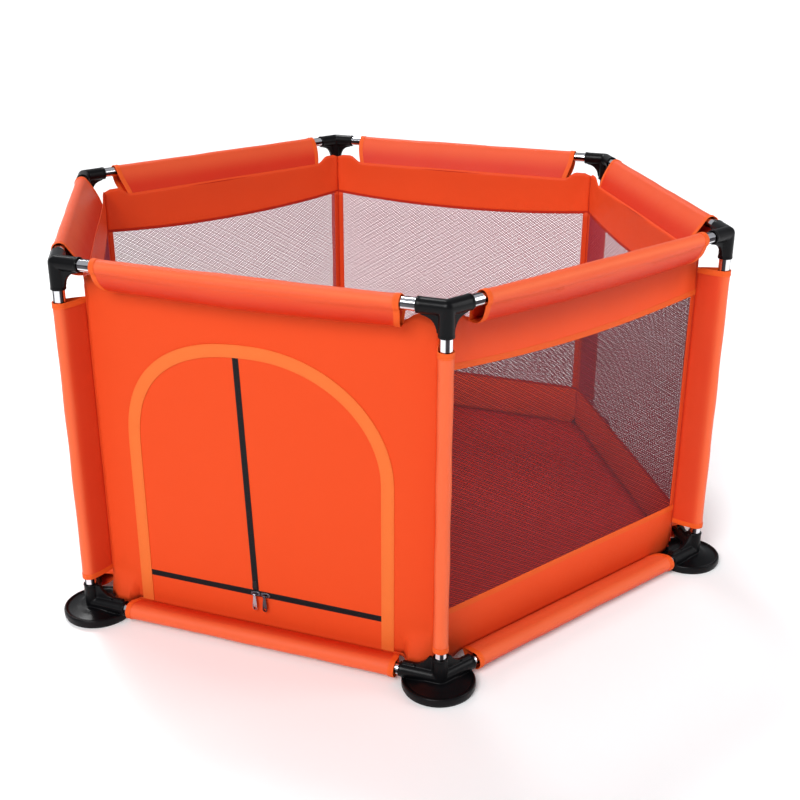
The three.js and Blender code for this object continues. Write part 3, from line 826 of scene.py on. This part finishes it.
def sleeve(section, normals, half, lift, phase, deep, belly):
    """The section run along the side: the cloth flares at both mouths and ripples a little between them.

    Its outer side, the section's last points, hangs out by a belly that is greatest at mid-length. Gives the
    cloth, its two hem tapes and their stitching; deep gives the tone, painted highlight and shade, from the
    section's points.
    """
    free = smoothstep(np.linalg.norm(section - section[0], axis=1) / (20 * MM))  # 0 at the seam
    hanging = 18  # points from the tube's outer side to the seam
    fall = np.clip((np.arange(len(section)) - len(section) + hanging) / (hanging - 1), 0, 1)
    t = np.linspace(-1, 1, 61)
    away = smoothstep((np.linalg.norm(section, axis=1) - GRIP) / np.linalg.norm(section[0]))
    s = t * (half - MOUTH_SLANT * away[:, None])
    flare = 1.3 * MM * np.exp(-(1 - np.abs(t)) * half / (14 * MM))
    waves = np.sin(t * half * 31 + phase) + 0.6 * np.sin(t * half * 67 + 2.3 * phase)
    ripple = 0.35 * MM * waves * bow((t + 1) / 2)
    out = (flare + ripple) * free[:, None] + belly * bow((t + 1) / 2) * bow(fall)[:, None]
    spread = section[:, None] + normals[:, None] * out[..., None]
    cloth = np.stack(np.broadcast_arrays(s, distances(section)[:, None]), axis=-1)
    tone = np.broadcast_to(deep(section)[:, None], s.shape)
    body = surface(on_side(s, spread[..., 0], lift + spread[..., 1]), cloth, tone)
    mouths = []
    for end, column in ((-1, 0), (1, -1)):
        path = on_side(s[:, column], spread[:, column, 0], lift + spread[:, column, 1])
        mouths.append(mouth(path, [float(end), 0.0, 0.0], np.column_stack([np.zeros(len(normals)), normals])))
    return body, *zip(*mouths)


def add_sleeves(number):
    """The two rail sleeves of a side, each hung on its tube and sewn to the panel."""
    upper = sleeve_section((INSET, PANEL_TOP - UPPER - 4 * MM), GRIP, 1.5 * MM, 12 * MM)
    lift = LOWER - LOWER_SLACK
    lower = sleeve_section((INSET, PANEL_LOW + 1.5 * MM - lift), GRIP + LOWER_SLACK, 2.5 * MM, 2.5 * MM)

    # Painted light on the upper sleeve: a painted highlight above the tube on its outer side, painted shade
    # below the tube.
    def painted_highlight_and_shade(section):
        painted_glint = np.exp(-((section[:, 1] - 5 * MM) / (5 * MM)) ** 2) * (section[:, 0] < 0)
        return 0.4 - 0.4 * painted_glint + 0.55 * smoothstep((2 * MM - section[:, 1]) / (34 * MM))

    # Painted shade on the door's lower sleeve: darker on its upper side towards the seam.
    def painted_shade_near_seam(section):
        return 0.2 + 0.7 * smoothstep((section[:, 0] + 8 * MM) / (28 * MM)) * (section[:, 1] > -2 * MM)

    # Painted shade on the other lower sleeves: darker towards the bottom.
    def painted_shade_low(section):
        return 0.15 + 0.7 * smoothstep((4 * MM - section[:, 1]) / (14 * MM))

    lower_painted_shade = painted_shade_near_seam if number == 1 else painted_shade_low
    rows = [
        ("upper_sleeve", upper, UPPER_HALF, UPPER, painted_highlight_and_shade, 7 * MM, "top_rail"),
        ("lower_sleeve", lower, LOWER_HALF, lift, lower_painted_shade, 0.0, "bottom_rail"),
    ]
    for name, (section, normals), half, height, deep, belly, rail in rows:
        body, tapes, seams = sleeve(section, normals, half, height, number * 1.7, deep, belly)
        cloth = make(f"{name}_{number}", on_panel([body], number), ORANGE, wall=CLOTH, closed=False)
        hem = make(f"{name}_hems_{number}", on_panel(tapes, number), HEM)
        thread = make(f"{name}_stitching_{number}", on_panel(seams, number), THREAD)
        2 * half


def add_post_sleeve(number):
    """A sleeve round a post, drawn in from its corner: the section stood upright, hemmed at both ends."""
    low, high = sleeve_low.z, sleeve_high.z
    section, normals = sleeve_section((COVER_REACH - REACH + 0.4 * MM, 0.0), GRIP, 1 * MM, 1 * MM, 10, 26)
    z = np.linspace(low, high, 41)
    level = (z - low) / (high - low)
    flare = 0.9 * MM * np.exp(-np.minimum(z - low, high - z) / (12 * MM))
    swell = 0.5 * MM * np.sin(level * 23 + number) * bow(level) + flare
    free = smoothstep(np.linalg.norm(section - section[0], axis=1) / (16 * MM))
    spread = section[:, None] + normals[:, None] * (swell[None, :] * free[:, None])[..., None]
    height = np.broadcast_to(z[None, :, None], (*spread.shape[:2], 1))
    cloth = np.stack(np.broadcast_arrays(distances(section)[:, None], z[None, :]), axis=-1)
    # Painted light: the sleeve lighter on its outward side, and painted shade darker towards its web.
    shade = 0.1 + 0.65 * smoothstep((9 * MM - section[:, 0]) / (20 * MM))
    tone = np.broadcast_to(shade[:, None], spread.shape[:2])
    body = surface(np.concatenate([spread, height], axis=-1), cloth, tone)
    mouths = []
    for end, column in ((-1, 0), (1, -1)):
        path = np.column_stack([spread[:, column], np.full(len(section), z[column])])
        mouths.append(mouth(path, [0.0, 0.0, float(end)], np.column_stack([normals, np.zeros(len(normals))])))
    tapes, seams = zip(*mouths)
    piece = make(f"post_cover_{number}", on_post([body], number, 0), ORANGE,
                 stands_for=[f"post_sleeve_{number}"], wall=CLOTH, closed=False)
    hem = make(f"post_cover_hems_{number}", on_post(tapes, number, 0), HEM)
    thread = make(f"post_cover_stitching_{number}", on_post(seams, number, 0), THREAD)


# ---- Side panels ----


def lobe(s):
    """How far the cloth stands above its top seam past the sleeve's end: up, then level to the corner."""
    start = UPPER_HALF - MOUTH_SLANT
    t = np.clip((np.abs(s) - start) / (PANEL_HALF - start), 0, 1)
    return LOBE * smoothstep(t / 0.45) - 5 * MM * smoothstep((t - 0.75) / 0.25)


def lower_lobe(s):
    """How far the cloth hangs below the floor's seam past the lower sleeve's end, rounded at the corner."""
    t = np.clip((np.abs(s) - LOWER_HALF) / (PANEL_HALF - LOWER_HALF), 0, 1)
    return 5.5 * MM * smoothstep(t / 0.15) - 18 * MM * smoothstep((t - 0.66) / 0.34) ** 2


def corner_flare(s, z):
    """How far the door's lower corners, free of the sleeve, stand out from the plane of the cloth."""
    t = np.clip((np.abs(s) - LOWER_HALF) / (PANEL_HALF - LOWER_HALF), 0, 1)
    low = smoothstep((PANEL_LOW + 60 * MM - z) / (60 * MM))
    return 21 * MM * smoothstep(t / 0.25) * (1 - 0.6 * smoothstep((t - 0.6) / 0.4)) * low


def hang(s, z):
    """How far the cloth lies off its plane: a faint billow, with soft pulls towards its four corners."""
    t = s / PANEL_HALF
    level = (z - PANEL_LOW) / (PANEL_TOP - PANEL_LOW)
    billow = 0.5 * MM * np.sin(5.3 * t + 1.1) * np.sin(4.1 * level + 0.4)
    near_corner = np.exp(-((1 - np.abs(t)) / 0.12) ** 2 - (bow(level) / 0.5) ** 2)
    return billow + 0.7 * MM * np.sin(40 * (np.abs(t) - level)) * near_corner


def band(edge_low, edge_high, tone):
    """Cloth between two edges given as heights over s: straight down between them, lying as hang says."""
    s = np.linspace(-PANEL_HALF, PANEL_HALF, 97)
    t = np.linspace(0, 1, 12)[:, None]
    z = edge_low(s)[None] * (1 - t) + edge_high(s)[None] * t
    s = np.broadcast_to(s, z.shape)
    shade = np.broadcast_to(tone(t), z.shape)
    return surface(on_side(s, INSET + hang(s, z), z), np.stack([s, z], axis=-1), shade)


def window_head(s):
    return PANEL_TOP - BAND_DEPTH - BAND_BOW * (1 - (s / (PANEL_HALF - SIDE_HEM)) ** 2)


def window_foot(s):
    return PANEL_LOW + LOWER_BAND + 0 * s


def net():
    """Two families of straight yarns on opposite slants, each yarn a flat bar across the window.

    A yarn is the line n.p = k * pitch, cut where it leaves the window, grown by a tuck that lies inside the
    bands' cloth; where it meets the bowed head is found by stepping from the head's height at its last s.
    """
    tuck, thick, slant = 3 * MM, 0.28 * MM, math.radians(32)
    half, low = PANEL_HALF - SIDE_HEM + tuck, PANEL_LOW + LOWER_BAND - tuck
    high = PANEL_TOP - BAND_DEPTH + tuck
    middle = (low + high) / 2
    skins = []
    for sign, level in ((1, 0.12 * MM), (-1, -0.12 * MM)):
        way = np.array([math.cos(slant), sign * math.sin(slant)])
        side = np.array([-way[1], way[0]])
        reach = half * abs(side[0]) + (high - low) / 2 * side[1]
        count = math.floor(reach / NET_PITCH)
        number = np.arange(-count, count + 1)
        marks = (number + NET_UNEVEN * np.sin(2.4 * number)) * NET_PITCH
        foot = marks[:, None] * side
        across = np.sort((np.array([-half, half])[None] - foot[:, :1]) / way[0], axis=1)
        top = (high - middle - foot[:, 1]) / way[1]
        for _ in range(4):
            top = (window_head(foot[:, 0] + top * way[0]) + tuck - middle - foot[:, 1]) / way[1]
        upright = np.sort(np.stack([(low - middle - foot[:, 1]) / way[1], top], axis=1), axis=1)
        start, end = np.maximum(across[:, 0], upright[:, 0]), np.minimum(across[:, 1], upright[:, 1])
        kept = end - start > 2 * MM
        ends = foot[kept, None] + np.stack([start, end], axis=1)[kept][..., None] * way
        corners = np.array([[-1, -1], [1, -1], [1, 1], [-1, 1]]) * [NET_YARN / 2, thick / 2]
        flat = ends[:, :, None] + corners[None, None, :, :1] * side
        depth = np.broadcast_to(INSET + level + corners[None, None, :, 1], flat.shape[:3])
        points = on_side(flat[..., 0], depth, middle + flat[..., 1])
        faces = repeated(BLOCK_FACES, BLOCK_CORNERS, len(ends))
        # The tone marks each yarn's outer face, which the material paints darker: painted shade.
        skins.append(Skin(points, [faces], tone=depth < INSET + level))
    return joined(skins)


def side_hems():
    """Cloth down both sides of a window, between the bands."""
    z = np.linspace(PANEL_LOW + LOWER_BAND - 4 * MM, PANEL_TOP - BAND_DEPTH + 2 * MM, 41)[None]
    hems = []
    for side in (-1, 1):
        edge = np.linspace(PANEL_HALF - SIDE_HEM, PANEL_HALF, 5)[:, None] * side
        edge, level = np.broadcast_arrays(edge, z)
        hems.append(surface(on_side(edge, INSET, level), np.stack([edge, level], axis=-1), 0.3))
    return hems


def window_edges():
    """Along a window's head and foot: a tape outside, a narrower lining inside and two rows of stitches."""
    s = np.linspace(-1, 1, 73) * (PANEL_HALF - 0.5 * MM)
    half_thick = 1 * MM
    tapes, linings, rows = [], [], []
    for height, inwards in ((window_head, 1), (window_foot, -1)):
        z = height(s)
        path = on_side(s, INSET + hang(s, z), z)
        up = np.broadcast_to([0.0, 0.0, float(-inwards)], path.shape)
        out = np.broadcast_to([0.0, -1.0, 0.0], path.shape)
        tapes.append(carried(path, up, out, half_hem_profile(TAPE + 1 * MM, half_thick)))
        linings.append(carried(path, up, -out, half_hem_profile(5 * MM, half_thick)))
        for lift in (TAPE - 1.2 * MM, TAPE - 5.5 * MM):
            rows.append(stitches(path - up * lift + out * 1.05 * MM, out))
    return tapes, linings, rows


def add_net_side(number):
    """A netted side: upper and lower band, side hems, taped window edges and the net."""
    # Painted shade in the bands' tone: the upper band darker at its top under the sleeve, most on side 2, and
    # the lower band darker towards its foot.
    top_painted_shade = 0.6 if number == 2 else 0.1

    def upper_edge(s):
        return PANEL_TOP + 1 * MM + lobe(s)

    upper = band(window_head, upper_edge, lambda t: top_painted_shade * smoothstep(t * 1.2 - 0.1))
    lower = band(lambda s: PANEL_LOW - lower_lobe(s), window_foot, lambda t: 0.35 * smoothstep(1 - t))
    tapes, linings, rows = window_edges()
    edging = [
        make(f"window_tapes_{number}", on_panel(tapes, number), HEM),
        make(f"window_linings_{number}", on_panel(linings, number), PIPING),
        make(f"window_stitching_{number}", on_panel(rows, number), THREAD),
    ]
    wide, high = 2 * PANEL_HALF, PANEL_TOP - PANEL_LOW - BAND_DEPTH - LOWER_BAND
    parts = [
        ("upper_band", [upper], (BAND_DEPTH + BAND_BOW, wide), edging),
        ("lower_band", [lower], (LOWER_BAND, wide), []),
        ("side_hems", side_hems(), (2 * SIDE_HEM, high), []),
    ]
    for name, skins, flat, sewn_on in parts:
        piece = make(f"{name}_{number}", on_panel(skins, number), BAND, wall=CLOTH, closed=False)
    screen = make(f"net_window_{number}", on_panel([net()], number), NET,
                  stands_for=[f"mesh_panel_{number}"], closed=False)


def add_corner_piping(number):
    """Piping down a cover corner: a round cord in its seam."""
    z = np.linspace(PANEL_LOW + 12 * MM, PANEL_TOP - 3 * MM, 41)
    path = np.column_stack([np.full(len(z), COVER_REACH), np.zeros(len(z)), z])
    across = np.broadcast_to([1.0, 0.0, 0.0], path.shape)
    out = np.broadcast_to([0.0, 1.0, 0.0], path.shape)
    cord = carried(path, across, out, round_profile(1.1 * MM))
    beside_door = number in (1, SIDES)
    make(f"corner_piping_{number}", [turned(cord, number - 2)], DOOR_CLOTH if beside_door else PIPING)


# ---- Door ----


def arch_path(grow, foot, count):
    """The arch's line grown outwards: up its left leg from a foot's height, over the head and down.

    The head is an ellipse on its right, and a squarer one on its left: cosine and sine to a power below 1.
    """
    half, rise = ARCH_HALF + grow, ARCH_RISE + grow
    head = arc((0, 0), 1, 180, 0, 61)
    power = np.where(head[:, :1] < 0, 0.8, 1.0)
    head = np.sign(head) * np.abs(head) ** power * [half, rise] + [ARCH_X, ARCH_SPRING]
    return resampled(np.vstack([[[ARCH_X - half, foot]], head, [[ARCH_X + half, foot]]]), count)


def door_cloth(s, z):
    """Door cloth over a grid of places: it lies as hang says and flares at its lower corners."""
    return surface(on_side(s, INSET + hang(s, z) - corner_flare(s, z), z), np.stack([s, z], axis=-1))


def fan(inner, outer, rows):
    """Door cloth ruled straight from each point of one line to the same point of another."""
    t = np.linspace(0, 1, rows)[:, None, None]
    flat = inner[None] * (1 - t) + outer[None] * t
    return door_cloth(flat[..., 0], flat[..., 1])


def door_surround():
    """Door cloth outside the arch: ruled from the arch's hidden edge out to the panel's outline."""
    foot, high, count = PANEL_LOW + 6 * MM, PANEL_TOP + 1 * MM, 160
    top = np.linspace(-PANEL_HALF, PANEL_HALF, 81)
    left = np.array([[-PANEL_HALF, foot], [-PANEL_HALF, high - 8 * MM]])
    outline = np.vstack([left, np.column_stack([top, high + lobe(top)]), left[::-1] * [-1, 1]])
    return fan(arch_path(UNDER_TAPE, foot, count), resampled(outline, count), 14)


def door_skirt():
    """Door cloth below the floor zip, and below the arch's feet out to both corners."""
    s = np.linspace(-PANEL_HALF, PANEL_HALF, 121)
    inside = np.abs(s - ARCH_X) < ARCH_HALF + UNDER_TAPE
    high = np.where(inside, ZIP_Z - 1 * MM, PANEL_LOW + 6 * MM)
    t = np.linspace(0, 1, 12)[:, None]
    z = (PANEL_LOW - lower_lobe(s))[None] * (1 - t) + high[None] * t
    return door_cloth(np.broadcast_to(s, z.shape), z)


def door_leaf(side):
    """Door cloth between the upright zip and the arch's hidden edge on one side, above the floor zip."""
    count, gap = 90, side * 1 * MM  # gap from the upright zip's line
    arch = arch_path(UNDER_TAPE, ZIP_Z + 1 * MM, 400)
    half = arch[(arch[:, 0] - ZIP_HEAD[0]) * side >= 0]
    if side > 0:
        half = half[::-1]
    inner = np.array([ZIP_FOOT + [gap, 1 * MM], ZIP_HEAD + [gap, 6 * MM]])
    return fan(resampled(inner, count), resampled(half, count), 72)


def zip_half(start, end, side, first, last):
    """One half of a zip from start to end: a tape on one side of the line and a row of teeth over it.

    The teeth are tapered blocks a pitch apart that reach just past the line; the other half's lie between.
    first and last are the bare stretches of tape before and after them.
    """
    start, end = np.array(start), np.array(end)
    travel = unit(end - start)
    across = side * np.array([travel[1], -travel[0]])
    line = resampled(np.array([start, end]), max(2, round(np.linalg.norm(end - start) / (6 * MM))))
    tape = on_door(line, flat_tape(0.5 * MM, 5.3 * MM, -1.0 * MM, 1.35 * MM) * [side, 1])
    length = np.linalg.norm(end - start) - first - last
    marks = first + (np.arange(int(length / ZIP_PITCH)) + (0.25 if side > 0 else 0.75)) * ZIP_PITCH
    centre = start + marks[:, None] * travel
    outline = ((-0.6, -0.5), (2.6, -0.8), (2.6, 0.8), (-0.6, 0.5))
    block = np.array([[x, y, out] for out in (-1.25, 1.75) for x, y in outline]) * MM
    flat = centre[:, None] + block[None, :, :1] * across + block[None, :, 1:2] * travel
    points = on_side(flat[..., 0], INSET - block[None, :, 2], flat[..., 1])
    return [tape, Skin(points, [repeated(BLOCK_FACES, BLOCK_CORNERS, len(marks))])]


def arch_stitches(grow):
    path = arch_path(grow, 30 * MM, 240)
    out = np.tile([0.0, -1.0, 0.0], (len(path), 1))
    return stitches(on_side(path[:, 0], INSET - 2.25 * MM, path[:, 1]), out)


def add_door_panel():
    """The door side's fixed cloth, arch binding and the floor zip's lower half."""
    rows = [arch_stitches(grow) for grow in (2.5 * MM, BINDING - 2.5 * MM)]
    thread = make("door_arch_stitching", rows, THREAD)
    band_profile = flat_tape(-BINDING / 2, BINDING / 2, 0.3 * MM, 2.0 * MM)
    arch = on_door(arch_path(BINDING / 2, binding_low.z, 160), band_profile)
    tape = make("door_arch_tape", [arch], EDGE_TAPE, stands_for=["door_arch_binding"])
    surround = make("door_surround_cloth", [door_surround()], DOOR_CLOTH,
                    stands_for=["door_panel"], wall=CLOTH, closed=False)
    skirt = make("door_skirt_cloth", [door_skirt()], DOOR_CLOTH, wall=CLOTH, closed=False)
    past = [ZIP_PAST, 0]
    lower_half = zip_half(ZIP_LEFT - past, ZIP_RIGHT + past, 1, 7 * MM, 7 * MM)
    lower_zip = make("floor_zip_lower_half", lower_half, ZIP_BLACK)
    width, height = 2 * PANEL_HALF, PANEL_TOP - PANEL_LOW
    half, rise = ARCH_HALF + UNDER_TAPE, ARCH_RISE + UNDER_TAPE
    arch_area = 2 * half * (ARCH_SPRING - PANEL_LOW) + math.pi / 2 * half * rise
    width * height - arch_area


def add_door_leaf(name, side, corner):
    """A leaf of the door with its zip halves; the fold line and the bent edge are worked out but not used."""
    leaf = make(f"door_leaf_{name}", [door_leaf(side)], DOOR_CLOTH, None, [f"door_flap_{name}"], CLOTH, False)
    upright = zip_half(ZIP_FOOT + [0, 4 * MM], ZIP_HEAD + [0, 4 * MM], side, 2 * MM, 6 * MM)
    floor_zip = zip_half(ZIP_FOOT + [side * 1 * MM, 0], corner + [side * ZIP_PAST, 0], -side, 2 * MM, 7 * MM)
    teeth = make(f"zip_half_{name}", [*upright, *floor_zip], ZIP_BLACK, None)
    fold = unit(ZIP_HEAD - corner)
    bent = corner + side * np.array([-fold[1], fold[0]]) * FOLD_WIDTH
    for piece in (leaf, teeth):
        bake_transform(piece)


# ---- Zip sliders and pulls ----

PULL_POINTS = 48


def about(centre, facing, local):
    """Points drawn as (right, out of the cloth, up) about a centre (s, z) on the cloth's mid-plane."""
    right, out, up = local[..., 0], local[..., 1], local[..., 2]
    return np.stack([centre[0] + right, PANEL_Y + facing * out, centre[1] + up], axis=-1)


def slider_plate(upright):
    """A plate of a slider: a rounded oblong, wider at its head, in layers that ease and dome its face."""
    count = 40
    angle = np.arange(count) * 2 * math.pi / count
    c, s = np.cos(angle), np.sin(angle)
    along = 9 * MM * np.sign(c) * np.abs(c) ** 0.6
    across = (4.8 + 0.6 * c) * MM * np.sign(s) * np.abs(s) ** 0.7
    layers = [(0.96, 1.75), (1, 2.0), (1, 2.7), (0.95, 3.15), (0.8, 3.45), (0.5, 3.6)]
    points = layered([(np.column_stack([along, across]) * share, out * MM) for share, out in layers])
    return points[..., [2, 1, 0]] if upright else points


def slider_body(centre, head, upright, facing):
    """Two domed plates, and the wedge between them at the head; head is the way that the head points."""
    plate = slider_plate(upright) * ([1, 1, head] if upright else [head, 1, 1])
    plates = [surface(about(centre, way, plate), close_v=True, caps=True) for way in (-1, 1)]
    wedge = revolved([(1.6 * MM, -2.2 * MM), (1.6 * MM, 2.2 * MM)], 12)
    shift = head * 5.6 * MM
    place = wedge.points[:, [0, 2, 1]] * [0.6, 1, 0.6] + ([0, 0, shift] if upright else [shift, 0, 0])
    return [*plates, Skin(about(centre, 1, place), wedge.faces), slider_staple(centre, facing)]


def slider_staple(centre, facing):
    """A wire bridge over the plate that the pull hangs on."""
    bend, high, half = 1.2 * MM, PIVOT_OUT, 3.1 * MM
    shoulder = (arc((0, 0), bend, 90, 180, 5) + [-half, high - bend])[::-1]
    left = np.vstack([[[-half - bend, 2.8 * MM]], shoulder])
    bridge = np.vstack([left, left[::-1] * [-1, 1]])
    travel = unit(np.gradient(bridge, axis=0))
    path = np.column_stack([bridge, np.zeros(len(bridge))])
    normal = np.column_stack([-travel[:, 1], travel[:, 0], np.zeros(len(bridge))])
    up = np.broadcast_to([0.0, 0.0, 1.0], path.shape)
    wire = carried(path, normal, up, round_profile(0.9 * MM, 12))
    return Skin(about(centre, facing, wire.points), wire.faces)


def slider_pull(centre, facing):
    """A pull: an eye round the staple's bar, and a flat blade that widens to a ring with a hole."""
    width, wire = 2.4 * MM, (1.3 * MM, 2.4 * MM)
    eye = revolved([(wire[0], -width), (wire[1], -width), (wire[1], width), (wire[0], width)], 20, close=True)
    eye = Skin(about(centre, facing, eye.points[:, [2, 1, 0]] + [0, PIVOT_OUT, 0]), eye.faces)
    end, half, neck = 25.5 * MM, 4.4 * MM, 2.4 * MM
    shoulder = np.array([[neck, -1.5 * MM], [neck, -6 * MM], [3.0 * MM, -10 * MM], [4.0 * MM, -18 * MM]])
    tail = arc((0, -end), half, 10, -190, 25)
    outline = np.vstack([shoulder, tail, shoulder[::-1] * [-1, 1], shoulder[:1]])
    hole = arc((0, -end), 2.5 * MM, 360, 0, PULL_POINTS + 1)[:-1]
    ring = facing_first(resampled(outline, PULL_POINTS + 1)[:-1], (0, -end))
    blade = plate_with_hole(ring, hole, 0.75 * MM)
    return [eye, Skin(about(centre, facing, blade.points + [0, PIVOT_OUT, 0]), blade.faces)]


def add_slider(name, head, upright, facing, finish, pull_finish):
    """A zip's slider and its pull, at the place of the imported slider."""
    low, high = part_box(f"zip_slider_{name}")
    centre = ((low.x + high.x) / 2, (low.z + high.z) / 2)
    body = slider_body(centre, head, upright, facing)
    make(f"slider_body_{name}", body, finish, f"slider_{name}", [f"zip_slider_{name}"])
    make(f"pull_tab_{name}", slider_pull(centre, facing), pull_finish, f"pull_{name}", [f"zip_pull_{name}"])


# ---- Floor ----


def add_floor():
    """The floor cloth: rings of a growing hexagon with faint creases towards its corners."""
    count, rings = 24, 26
    angle = np.arange(SIDES * count) * STEP / count
    edge = (APOTHEM - INSET - 1 * MM) / np.cos((angle - STEP / 2) % STEP - STEP / 2)
    r = np.linspace(0.002, 1, rings)[:, None]
    x, y = r * edge * np.cos(angle - math.pi / 2), r * edge * np.sin(angle - math.pi / 2)
    billow = 0.8 * MM * np.sin(9 * x + 3) * np.cos(11 * y) * bow(r)
    crease = 1.0 * MM * np.cos(SIDES * angle) ** 8 * bow(r)
    z = (floor_low.z + floor_high.z) / 2 + (billow + crease)
    cloth = surface(np.stack([x, y, z], axis=-1), np.stack([x, y], axis=-1), close_v=True)
    cap = np.arange(SIDES * count)[None, ::-1]
    disc = Skin(cloth.points, [cloth.faces[0], cap], cloth.cloth)
    piece = make("floor_cloth", [disc], FLOOR_CLOTH, stands_for=["floor_sheet"], wall=CLOTH, closed=False)


# ---- Assembly ----

add_camera()
add_room()
add_frame()
for number in range(1, SIDES + 1):
    add_sleeves(number)
    add_post_sleeve(number)
    add_corner_piping(number)
for number in range(2, SIDES + 1):
    add_net_side(number)
add_door_panel()
add_door_leaf("left", -1, ZIP_LEFT)
add_door_leaf("right", 1, ZIP_RIGHT)
add_slider("left", 1, False, -1, GUNMETAL, ZINC)
add_slider("right", -1, False, -1, GUNMETAL, GUNMETAL)
add_slider("upright", -1, True, 1, ENAMEL, ZINC)
add_floor()
